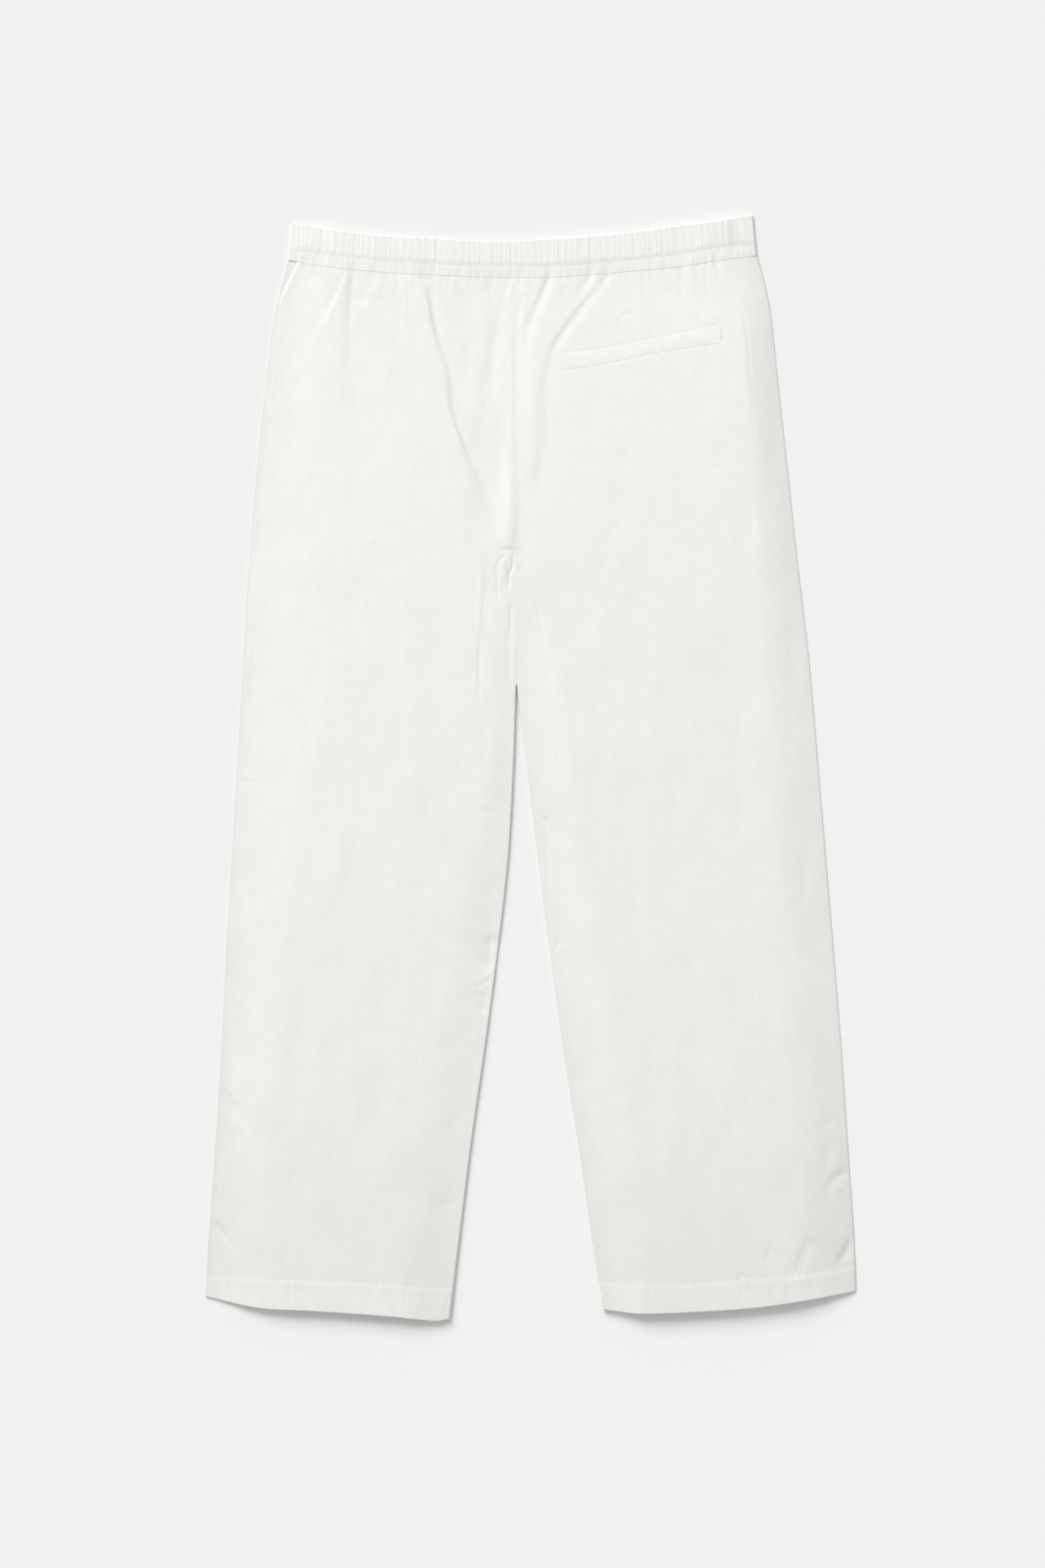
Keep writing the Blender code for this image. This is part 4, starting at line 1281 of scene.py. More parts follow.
def linen(name, colour, deep, pitch=0.62, slub=1.0):
    """Plain-weave linen: two sets of uneven threads, slubs and a soft mottle."""
    material = bpy.data.materials.new(name)
    tree, shader = nodes_of(material)
    links = tree.links
    place = tree.nodes.new("ShaderNodeAttribute")
    place.attribute_name = "cloth_mm"
    parts = tree.nodes.new("ShaderNodeSeparateXYZ")
    links.new(place.outputs["Vector"], parts.inputs[0])
    u, v = parts.outputs[0], parts.outputs[1]

    # Threads wander a little, so the weave isn't a perfect grid.
    drift = noise_node(tree, place_vector(tree, u, v, 0.09, 0.05, 3.0), 2.0)
    drift = math_node(tree, "MULTIPLY_ADD", drift, 1.6, -0.8)
    sway = noise_node(tree, place_vector(tree, u, v, 0.05, 0.09, 8.0), 2.0)
    sway = math_node(tree, "MULTIPLY_ADD", sway, 1.6, -0.8)
    pu = math_node(tree, "MULTIPLY", math_node(tree, "ADD", u, drift), math.pi / pitch)
    pv = math_node(tree, "MULTIPLY", math_node(tree, "ADD", v, sway), math.pi / (pitch * 1.08))
    cross = math_node(
        tree, "MULTIPLY", math_node(tree, "SINE", pu), math_node(tree, "SINE", pv)
    )
    weave = math_node(
        tree, "MULTIPLY_ADD", cross, 0.35, math_node(tree, "ABSOLUTE", cross)
    )

    # Thread thickness, long down the warp and along the weft.
    warp = noise_node(tree, place_vector(tree, u, v, 1.35, 0.035, 1.0), 3.0, 0.6)
    weft = noise_node(tree, place_vector(tree, u, v, 0.06, 1.25, 5.0), 3.0, 0.6)
    weft = math_node(tree, "MULTIPLY_ADD", weft, 0.55, 0.225)
    slub_warp = noise_node(tree, place_vector(tree, u, v, 0.8, 0.014, 12.0), 1.0)
    slub_warp = ramp(tree, slub_warp, 0.62, 0.78)
    slub_weft = noise_node(tree, place_vector(tree, u, v, 0.016, 0.8, 15.0), 1.0)
    slub_weft = ramp(tree, slub_weft, 0.64, 0.8, 0.0, 0.45)
    threads = math_node(tree, "ADD", warp, weft)
    slubs = math_node(tree, "ADD", slub_warp, slub_weft)

    mottle = noise_node(tree, place_vector(tree, u, v, 0.09, 0.07, 20.0), 4.0, 0.6)
    streak = noise_node(tree, place_vector(tree, u, v, 0.42, 0.085, 26.0), 2.0, 0.55)

    # Colour: a little deeper between threads, lighter on slubs.
    tone = math_node(tree, "MULTIPLY_ADD", threads, 0.3 * slub, 0.5 - 0.3 * slub)
    tone = math_node(tree, "MULTIPLY_ADD", slubs, 0.07 * slub, tone)
    tone = math_node(tree, "MULTIPLY_ADD", weave, 0.1, tone)
    tone = math_node(
        tree, "ADD", tone, math_node(tree, "MULTIPLY_ADD", mottle, 0.6, -0.3)
    )
    tone = math_node(
        tree, "ADD", tone, math_node(tree, "MULTIPLY_ADD", streak, 0.4, -0.2)
    )
    twice = tree.nodes.new("ShaderNodeAttribute")
    twice.attribute_name = "doubled"
    tone = math_node(tree, "MULTIPLY_ADD", twice.outputs["Fac"], 0.24, tone)
    mix = tree.nodes.new("ShaderNodeMix")
    mix.data_type = "RGBA"
    mix.clamp_factor = True
    mix.inputs["A"].default_value = (*deep, 1.0)
    mix.inputs["B"].default_value = (*colour, 1.0)
    links.new(tone, mix.inputs["Factor"])
    # Painted shade: the 'deep' field of each point darkens and warms the colour towards the shade colour below.
    deeper = tree.nodes.new("ShaderNodeAttribute")
    deeper.attribute_name = "deep"
    shade = tree.nodes.new("ShaderNodeMix")
    shade.data_type = "RGBA"
    shade.blend_type = "MULTIPLY"
    shade.clamp_factor = True
    links.new(
        math_node(tree, "MULTIPLY", deeper.outputs["Fac"], 1.0 / 30.0), shade.inputs["Factor"]
    )
    links.new(mix.outputs["Result"], shade.inputs["A"])
    shade.inputs["B"].default_value = (0.755, 0.70, 0.645, 1.0)
    links.new(shade.outputs["Result"], shader.inputs["Base Color"])

    rough = math_node(tree, "MULTIPLY_ADD", threads, -0.06, 0.97)
    links.new(rough, shader.inputs["Roughness"])
    shader.inputs["Specular IOR Level"].default_value = 0.25
    shader.inputs["Sheen Weight"].default_value = 0.12
    shader.inputs["Sheen Roughness"].default_value = 0.55
    shader.inputs["Sheen Tint"].default_value = (1.0, 0.985, 0.95, 1.0)

    high = math_node(tree, "MULTIPLY_ADD", threads, 0.9, weave)
    high = math_node(tree, "MULTIPLY_ADD", slubs, 0.8, high)
    bump = tree.nodes.new("ShaderNodeBump")
    bump.inputs["Strength"].default_value = 0.35
    bump.inputs["Distance"].default_value = 0.00009
    links.new(high, bump.inputs["Height"])
    links.new(bump.outputs["Normal"], shader.inputs["Normal"])
    return material


def thread_material():
    """Sewing thread: two plies twisted together."""
    material = bpy.data.materials.new("sewing_thread")
    tree, shader = nodes_of(material)
    place = tree.nodes.new("ShaderNodeAttribute")
    place.attribute_name = "cloth_mm"
    parts = tree.nodes.new("ShaderNodeSeparateXYZ")
    tree.links.new(place.outputs["Vector"], parts.inputs[0])
    twist = math_node(
        tree,
        "SINE",
        math_node(
            tree,
            "MULTIPLY",
            math_node(tree, "ADD", parts.outputs[0], parts.outputs[1]),
            2 * math.pi / 0.35,
        ),
    )
    tone = math_node(tree, "MULTIPLY_ADD", twist, 0.3, 0.6)
    mix = tree.nodes.new("ShaderNodeMix")
    mix.data_type = "RGBA"
    mix.inputs["A"].default_value = (0.74, 0.73, 0.7, 1.0)
    mix.inputs["B"].default_value = (0.86, 0.85, 0.82, 1.0)
    tree.links.new(tone, mix.inputs["Factor"])
    tree.links.new(mix.outputs["Result"], shader.inputs["Base Color"])
    shader.inputs["Roughness"].default_value = 0.7
    return material


LINEN_COLOUR = (0.845, 0.838, 0.812)
LINEN_DEEP = (0.775, 0.764, 0.731)
linen_material = linen("linen_weave", LINEN_COLOUR, LINEN_DEEP)
# The waistband's linen is a darker copy of the panels' linen: painted shade over the whole band.
band_shaded_material = linen("waistband_weave_shaded", (0.822, 0.815, 0.79), (0.765, 0.755, 0.724))
sewing_thread = thread_material()


# ------------------------------------------------------------------- panels
def levels(spans):
    """y levels from spans of (from, to, pitch)."""
    found = []
    for top, low, pitch in spans:
        steps = max(1, int(round((top - low) / pitch)))
        found += [top + (low - top) * i / steps for i in range(steps)]
    found.append(spans[-1][1])
    return np.array(found)


def whole(count, step):
    """The nearest number of points that makes whole steps."""
    return int(round((count - 1) / step)) * step + 1


def least_around(z, rows, cols):
    """The least z within that many rows and columns of each point."""
    low = z.copy()
    for axis, reach in ((0, rows), (1, cols)):
        src = low.copy()
        for k in range(1, reach + 1):
            ahead, behind = [slice(None)] * 2, [slice(None)] * 2
            ahead[axis], behind[axis] = slice(k, None), slice(None, -k)
            a, b = tuple(ahead), tuple(behind)
            low[b] = np.minimum(low[b], src[a])
            low[a] = np.minimum(low[a], src[b])
    return low


def hem_doubling(side, x, y):
    return ease((follow(HEM_STITCH[side], "y", x) - y) / 1.5)


def rim_bulge(shape):
    """Round at the hem, where the cloth is folded, and square in the seams."""
    bulge = np.full(shape, SEAM_HALF * 0.7)
    bulge[-1] = HEM_WALL / 2
    return bulge


def back_panel(side):
    way = sign(side)
    x_mid = float(centre_x(GAP_TOP_Y))
    top = float(row_y(side, 0.0, x_mid))
    low = float(row_y(side, 1.0, x_mid))
    at = levels([(top, 440.0, 1.1), (440.0, 200.0, 1.45), (200.0, -478.0, 2.3), (-478.0, low, 0.95)])
    count = whole(len(at), 4)
    down = down_at(side, x_mid, at)
    down = np.interp(np.linspace(0, 1, count), np.linspace(0, 1, len(down)), down)
    # One row meets the crotch, where the inseams part.
    crotch = float(down_at(side, centre_x(CROTCH_Y), CROTCH_Y))
    down[np.argmin(np.abs(down - crotch))] = crotch
    x0, _ = meet(side, down, lambda y: side_seam_x(side, y))
    x1, _ = meet(side, down, lambda y: back_inner_x(side, y))
    x0, x1 = x0 - way * SEAM_HALF, x1 + way * SEAM_HALF
    cols = 146
    t = np.linspace(0, 1, cols)
    # A little closer together towards the seams.
    t = t - 0.06 * np.sin(2 * np.pi * t) / (2 * np.pi) * 2
    x = x0[:, None] + (x1 - x0)[:, None] * t[None, :]
    y = row_y(side, down[:, None], x)
    z = top_height(side, x, y)
    outer = np.stack([x, y, z], -1)
    normal = grid_normals(outer)
    normal *= np.sign(normal[..., 2:3].mean())
    thick = CLOTH * (1.0 + (HEM_WALL / CLOTH - 1.0) * hem_doubling(side, x, y))
    inner = outer - normal * thick[..., None]
    # The inside's larger cells stay under the face.
    flat = inner.copy()
    flat[..., 2] = least_around(outer[..., 2], 4, 5) - thick
    rim = np.zeros(x.shape, bool)
    rim[0] = rim[-1] = True
    rim[:, 0] = rim[:, -1] = True
    inner = np.where(rim[..., None], inner, flat)
    s = x - leg_x(side, y)
    cloth = np.stack([s + 700.0, y + 900.0, np.zeros_like(s)], -1)
    cells = np.ones((len(down) - 1, cols - 1), bool)
    return shell(
        "linen_back_" + side,
        outer,
        inner,
        cells,
        cloth,
        hem_doubling(side, x, y),
        painted_shade_and_tone(side, x, y),
        linen_material,
        rim_bulge(x.shape),
        turns=4,
        coarse=(4, 5),
    )


def front_panel(side):
    """Columns run from the inseam round the inner fold, under, round the
    outer fold and up to the side seam."""
    way = sign(side)
    x_mid = float(centre_x(GAP_TOP_Y))
    top = float(row_y(side, 0.0, x_mid))
    low = float(row_y(side, 1.0, x_mid))
    at = levels(
        [
            (top, 440.0, 1.7),
            (440.0, TONGUE_Y, 2.6),
            (TONGUE_Y, GAP_TOP_Y, 1.9),
            (GAP_TOP_Y, FOLD_START_Y, 1.2),
            (FOLD_START_Y, -478.0, 2.6),
            (-478.0, low, 1.15),
        ]
    )
    down = down_at(side, x_mid, at)
    tongue = float(down_at(side, x_mid, TONGUE_Y))
    gap_top = float(down_at(side, x_mid, GAP_TOP_Y))
    fold = float(down_at(side, x_mid, FOLD_START_Y))
    n_tongue, n_bend, n_under, n_strip = 22, 9, 42, 18
    seam_x, _ = meet(side, down, lambda y: back_inner_x(side, y))
    seam_x = seam_x - way * SEAM_HALF
    mid_x, _ = meet(side, down, centre_x)
    mid_x = mid_x + way * SEAM_HALF
    front, _ = meet(side, down, front_x)
    front = front + way * SEAM_HALF
    edge_x, edge_y = meet(side, down, lambda y: inner_x(side, y))
    out_x, out_y = meet(side, down, lambda y: outer_x(side, y))
    strip_x, _ = meet(side, down, lambda y: side_seam_x(side, y))
    strip_x = strip_x + way * SEAM_HALF
    table = LOFT[side]
    part = np.clip((down - gap_top) / (fold - gap_top), 0.0, 1.0)
    # The inner fold starts as a pinch at the top of the gap, is pressed
    # narrower than it is high down the leg, and opens out at the hem.
    r_in = follow(table, "inner", edge_y) * (
        0.12 + 0.36 * ease((GAP_TOP_Y - edge_y) / 16.0) + 0.52 * ease((-380.0 - edge_y) / 110.0)
    )
    r_out = follow(table, "outer", out_y)
    in_x = mid_x + (edge_x + way * r_in - mid_x) * part
    low_x = front + (edge_x + way * r_in - front) * part

    def at_x(x):
        y = row_y(side, down[:, None], x)
        return np.stack([x, y, top_height(side, x, y)], -1)

    def across(a, b, count):
        return a[:, None] + (b - a)[:, None] * np.linspace(0, 1, count + 1)[None, :]

    def half_turn(edge, y, out, slope, top_z, low_z, wide, count):
        """Round a folded edge, from its top to its foot."""
        turn = np.pi / 2 - np.pi * np.arange(1, count) / count
        tall = (top_z - low_z)[:, None]
        radius = tall / 2
        norm = np.hypot(1.0, slope)[:, None]
        reach = radius * np.cos(turn)[None, :]
        # How far the fold's middle lies from its centre line.
        start = (edge - out * wide)[:, None]
        scale = np.abs(edge[:, None] - start) / np.maximum(radius, 0.1)
        x = start + out * reach * scale / norm
        yy = y[:, None] - out * slope[:, None] * reach * scale / norm
        z = low_z[:, None] + radius * (1 + np.sin(turn)[None, :])
        return np.stack([x, yy, z], -1)

    tongue_part = at_x(across(seam_x, in_x, n_tongue))
    x = across(low_x, out_x - way * r_out, n_under)
    y = row_y(side, down[:, None], x)
    under_part = np.stack([x, y, under_height(side, x, y)], -1)
    strip_part = at_x(across(out_x - way * r_out, strip_x, n_strip))
    slope_in = (inner_x(side, edge_y + 1) - inner_x(side, edge_y - 1)) / 2
    slope_out = (outer_x(side, out_y + 1) - outer_x(side, out_y - 1)) / 2
    inner_turn = half_turn(
        edge_x, edge_y, -way, slope_in, tongue_part[:, -1, 2], under_part[:, 0, 2], r_in, n_bend
    )
    outer_turn = half_turn(
        out_x, out_y, way, slope_out, strip_part[:, 0, 2], under_part[:, -1, 2], r_out, n_bend
    )[:, ::-1]
    outer = np.concatenate(
        [tongue_part, inner_turn, under_part, outer_turn, strip_part], axis=1
    )
    normal = grid_normals(outer)
    # Away from the middle of the tube: down, under it, and up on top.
    c_bend = n_tongue
    c_under = c_bend + n_bend
    c_outer = c_under + n_under
    c_strip = c_outer + n_bend
    normal *= -np.sign(normal[:, c_under + 5 : c_outer - 5, 2].mean())
    # Where the inner fold isn't there yet, the two layers end apart.
    for c in (c_bend, c_under):
        plain = np.array([0.0, 0.0, 1.0 if c == c_bend else -1.0])
        no_fold = down < fold - 1e-9
        normal[no_fold, c] = plain
    thick = CLOTH * (1.0 + (HEM_WALL / CLOTH - 1.0) * hem_doubling(side, outer[..., 0], outer[..., 1]))
    inner = outer - normal * thick[..., None]
    rows, cols = outer.shape[:2]
    cells = np.ones((rows - 1, cols - 1), bool)
    cells[down[:-1] < tongue - 1e-9, :c_bend] = False
    cells[down[:-1] < fold - 1e-9, c_bend:c_under] = False
    span = np.linalg.norm(np.diff(outer, axis=1), axis=-1)
    # Lengths round the tube, from the middle of the under layer.
    run = np.concatenate([np.zeros((rows, 1)), np.cumsum(span, axis=1)], axis=1)
    middle = (c_under + c_outer) // 2
    start = outer[:, middle, 0] - leg_x(side, outer[:, middle, 1])
    s = (run - run[:, middle : middle + 1]) * way + start[:, None]
    cloth = np.stack([s + 2100.0, outer[..., 1] + 900.0, np.zeros_like(s)], -1)
    return shell(
        "linen_front_" + side,
        outer,
        inner,
        cells,
        cloth,
        hem_doubling(side, outer[..., 0], outer[..., 1]),
        painted_shade_and_tone(side, outer[..., 0], outer[..., 1]),
        linen_material,
        rim_bulge((rows, cols)),
        turns=4,
    )


# ---------------------------------------------------------------- waistband
def band_part_of_stitches(x):
    low, up = follow(WAIST, "seam_y", x), follow(WAIST, "top_y", x)
    return (follow(BAND_STITCH, "y", x) - low) / (up - low)


_fine = {}


def fine_gathers(x, seed, pitch, wide, high):
    """Uneven small ridges along x, one every pitch or so."""
    key = (seed, pitch)
    if key not in _fine:
        rnd = np.random.RandomState(seed)
        rows, at = [], -242.0
        while at < 228.0:
            rows.append((at, rnd.uniform(0.3, 1.0) * high, rnd.uniform(0.7, 1.3) * wide))
            at += pitch * rnd.uniform(0.55, 1.5)
        _fine[key] = rows
    total = np.zeros_like(x)
    for at, h, w in _fine[key]:
        near = np.abs(x - at) < 3 * w
        total[near] += h * bell(x[near] - at, w)
    return total


def band_relief(x, part, front):
    """Gathers over the elastic, puckers in the cord channel, and the groove
    of the row of stitches between them."""
    line = band_part_of_stitches(x)
    tall = follow(WAIST, "top_y", x) - follow(WAIST, "seam_y", x)
    off = (part - line) * tall
    above = ease((off - 0.4) / 4.0)
    below = ease((-off - 0.4) / 3.0) * ease(part / 0.1)
    rise = np.clip((part - line) / (1 - line), 0, 1)
    seed = 90 if front else 80
    z = np.zeros_like(x)
    shape = above * (0.6 + 0.4 * np.abs(2 * rise - 1) ** 1.5)
    if not front:
        for g in GATHERS:
            lean = x - g.x - g.lean * rise
            near = np.abs(lean) < 4 * g.reach
            z[near] += 0.34 * g.height * bell(lean[near], g.reach) * shape[near]
    else:
        z += fine_gathers(x + 1.2 * rise, seed + 5, 15.0, 1.5, 0.4) * shape
    wander = x + 1.4 * noise(x, part * 36.0, 9.0, 14.0, seed)
    z += fine_gathers(wander, seed + 1, 5.2, 1.2, 0.12) * shape
    z += 0.09 * noise(x, part * 36, 5.0, 22.0, seed + 2) * above
    z += 0.3 * noise(x, part * 36, 26.0, 60.0, seed + 7) * ease(part / 0.3)
    z += fine_gathers(x + 0.4 * noise(x, part * 36.0, 6.0, 6.0, seed + 6), seed + 3, 4.0, 0.9, 0.26) * below
    z += 0.25 * ease(rise * 1.3) * (1 - rise) * above
    # Cloth pinched by the stitches and by the seam.
    pinch = 1.0 + 0.5 * noise(x, x * 0, 4.0, 1.0, seed + 4)
    z -= 0.16 * bell(off - 0.2, 2.0) * pinch
    z -= 0.14 * ease((1.2 - off) / 3.0)
    if not front:
        z -= 0.3 * bell(x - CENTRE_JOIN - 0.3, 0.9) * (1 - bell(off, 1.0))
        z += 0.15 * bell(x - CENTRE_JOIN + 3.0, 2.2)
    return z


def scallop(x, front):
    """How far the gathers push the top edge up or down."""
    z = fine_gathers(x, 91 if front else 81, 5.2, 1.1, 0.5)
    if not front:
        for g in GATHERS:
            z += 0.6 * g.height * bell(x - g.x - g.lean, g.reach * 1.1)
    return z * 0.7 - 0.4


def band_foot(x):
    """The height of the back panels where the waistband is sewn on."""
    y = follow(WAIST, "seam_y", x) - 0.3
    mid = ease((x - CENTRE_JOIN + 20.0) / 40.0)
    return top_height(LEFT, x, y) * (1 - mid) + top_height(RIGHT, x, y) * mid


def waistband():
    half = BAND_WALL / 2
    rows_up = 40
    x_right, x_left = BAND_RIGHT[0], BAND_LEFT[0]
    end_z = 3.0
    pitch = 0.82
    radius = end_z / 2

    # Places round the ring: along the back, round the right end, along the
    # front, round the left end and back to the join.
    def run(a, b):
        n = max(2, int(abs(b - a) / pitch))
        return np.linspace(a, b, n, endpoint=False)

    turn_steps = 12
    xs, kind, turn = [], [], []

    def add(values, what, angles=None):
        xs.extend(values)
        kind.extend([what] * len(values))
        turn.extend(angles if angles is not None else [0.0] * len(values))

    add(run(CENTRE_JOIN, x_right - radius), 0)
    angles = list(np.linspace(np.pi / 2, -np.pi / 2, turn_steps, endpoint=False))
    add([x_right - radius] * turn_steps, 1, angles)
    add(run(x_right - radius, x_left + radius), 2)
    angles = list(np.linspace(-np.pi / 2, np.pi / 2, turn_steps, endpoint=False))
    add([x_left + radius] * turn_steps, 3, angles)
    add(run(x_left + radius, CENTRE_JOIN), 0)
    xs, kind, turn = np.array(xs), np.array(kind), np.array(turn)
    cols = len(xs)

    inset, tuck = 0.15, 0.08  # the folded edges reach the outline
    part = np.concatenate(
        [np.linspace(0, 0.1, 6, endpoint=False), np.linspace(0.1, 1.0, rows_up - 5)]
    )
    pp, xx = np.meshgrid(part, xs, indexing="ij")
    kk = np.broadcast_to(kind, pp.shape)
    aa = np.broadcast_to(turn, pp.shape)
    low, up = follow(WAIST, "seam_y", xx), follow(WAIST, "top_y", xx)
    y = low + tuck + (up - low - inset - tuck) * pp
    shown = ease((xx - 118.0) / 20.0) * ease((172.0 - xx) / 20.0)
    back_y = y + scallop(xx, False) * ease((pp - 0.75) / 0.25)
    front_y = y + (scallop(xx, True) + 2.0 * shown) * ease((pp - 0.5) / 0.5)
    # The ends lean in towards the top edge.
    lean_right = (BAND_RIGHT[1] - BAND_RIGHT[0]) * pp
    lean_left = (BAND_LEFT[1] - BAND_LEFT[0]) * pp
    share = (xx - x_left) / (x_right - x_left)
    lean = lean_left * (1 - share) + lean_right * share
    swell = 0.4 * bell(xx + 19.0, 140.0)
    roll = 0.12 * pp ** 8
    ends = ease((xx - x_left - radius) / 12.0) * ease((x_right - radius - xx) / 12.0)
    flat = ease((xx - x_left - radius) / 26.0) * ease((x_right - radius - xx) / 26.0)
    # It starts level with the panels, which are sewn to its lower edge.
    foot = band_foot(xs) + 0.12
    kernel = np.hanning(41) / np.hanning(41).sum()
    steady = np.convolve(np.pad(foot, 20, mode="edge"), kernel, mode="valid")
    top_z = end_z + (np.clip(steady[None, :] + 0.1, 4.6, 6.6) - end_z) * flat
    band_wall = 1.3 + (BAND_WALL - 1.3) * flat
    level = top_z + swell * ends
    level = level + (foot[None, :] - level) * (1 - ease(pp / 0.34)) * ends
    back_z = level - roll * ends + band_relief(xx, pp, False) * (0.3 + 0.7 * ends)
    front_rise = np.maximum(0.75 - band_relief(xx, pp, True), 0.0) * ends * 0.75
    front_z = front_rise * (0.2 + 0.8 * ease(pp / 0.15))
    # Cord holes: two upright slits in the front of the cord channel.
    row = band_part_of_stitches(xx)
    for hole in (CENTRE_JOIN - 12.0, CENTRE_JOIN + 12.0):
        inside = ease(2.2 - np.hypot((xx - hole) / 1.3, (pp - row * 0.5) / 0.12) * 1.1)
        front_z = front_z + 1.9 * inside
    c, s = np.cos(aa), np.sin(aa)
    is_back, is_front = kk == 0, kk == 2
    end_way = np.where(kk == 1, 1.0, -1.0)
    bulge = 1.0 + 0.03 * noise(pp * 36, aa * 3, 5.0, 1.0, 77)
    x = np.where(is_back | is_front, xx, xx + end_way * radius * c * bulge) + lean
    z = np.where(is_back, back_z, np.where(is_front, front_z, radius * (1 + s)))
    yy = np.where(is_back, back_y, np.where(is_front, front_y, (back_y * (1 + s) + front_y * (1 - s)) / 2))
    outer = np.stack([x, yy, z], -1)
    nx = np.where(is_back | is_front, 0.0, end_way * c)
    nz = np.where(is_back, 1.0, np.where(is_front, -1.0, s))
    normal = unit(np.stack([nx, np.zeros_like(nx), nz], -1))
    plain = outer.copy()
    plain[..., 2] = np.where(is_back, top_z + swell * ends - roll * ends, np.where(is_front, 0.0, z))
    inner = plain - normal * band_wall[..., None]
    up_way = np.array([0.0, 1.0, 0.0])

    def edge(k, way, steps, reach):
        """Round an edge, from the face to the inside."""
        rings = []
        mid = (outer[k] + inner[k]) / 2
        wide = np.linalg.norm(outer[k] - inner[k], axis=-1)[:, None] / 2
        across = unit(outer[k] - inner[k])
        for j in range(1, steps):
            a = math.pi * j / steps
            rings.append(mid + across * wide * math.cos(a) + way * reach * math.sin(a))
        return rings

    top_rings = edge(-1, up_way, 8, inset)
    inside = [inner[k] for k in np.linspace(len(part) - 1, 0, 9).astype(int)]
    low_rings = edge(0, -up_way, 6, tuck)[::-1]
    loops_up = list(outer) + top_rings + inside + low_rings
    grid = np.stack(loops_up, 0)
    rows = grid.shape[0]
    ids = np.arange(rows * cols).reshape(rows, cols)
    a, b = ids, np.roll(ids, -1, axis=1)
    quads = np.stack([a, b, np.roll(b, -1, axis=0), np.roll(a, -1, axis=0)], -1).reshape(-1, 4)
    mesh, loops = new_mesh("linen_waistband", grid.reshape(-1, 3), [quads])
    step = np.concatenate([[0.0], np.cumsum(np.linalg.norm(np.diff(grid[10], axis=0), axis=-1))])
    tall = np.concatenate([[0.0], np.cumsum(np.linalg.norm(np.diff(grid[:, 300], axis=0), axis=-1))])
    # Gathered cloth is longer than the band, so its weave is closer here.
    uu = np.broadcast_to(step[None, :] * 1.35 + 3600.0, (rows, cols))
    vv = np.broadcast_to(tall[:, None] + 600.0, (rows, cols))
    cloth = np.stack([uu, vv, np.zeros((rows, cols))], -1).reshape(-1, 3)
    # Painted shade along the row of stitches, at the two ends and along the folded top edge; and uneven tone.
    off = (grid[..., 1] - follow(BAND_STITCH, "y", grid[..., 0])) / 2.4
    deep = 4.0 * np.exp(-off * off) * (0.8 + 0.5 * noise(grid[..., 0], grid[..., 1], 4.0, 4.0, 151))
    deep += 1.5 * noise(grid[..., 0], grid[..., 1], 30.0, 26.0, 152)
    deep += 5.0 * bell(grid[..., 0] - BAND_RIGHT[0], 6.0) + 3.0 * bell(grid[..., 0] - BAND_LEFT[0], 4.0)
    rim = np.abs(np.arange(rows) - (len(part) + 2.0))[:, None]
    deep += 6.0 * bell(rim, 5.0)
    set_point_values(mesh, cloth, np.full(rows * cols, 0.6), deep.reshape(-1))
    # The map: one strip round the ring, cut at the join and along the seam.
    r_of = np.repeat(np.arange(rows), cols)
    c_of = np.tile(np.arange(cols), rows)
    corner_r = np.stack([r_of, r_of, r_of + 1, r_of + 1], 1)
    corner_c = np.stack([c_of, c_of + 1, c_of + 1, c_of], 1)
    fine_u, fine_v = corner_c / cols, corner_r / rows
    uv = np.stack([0.01 + 0.98 * fine_u, 0.01 + 0.98 * fine_v], -1).reshape(-1, 2)
    layer = mesh.uv_layers.new(name="OFBake")
    layer.data.foreach_set("uv", uv.astype(np.float32).reshape(-1))
    return put("linen_waistband", mesh, band_shaded_material), outer, is_back[0], is_front[0]


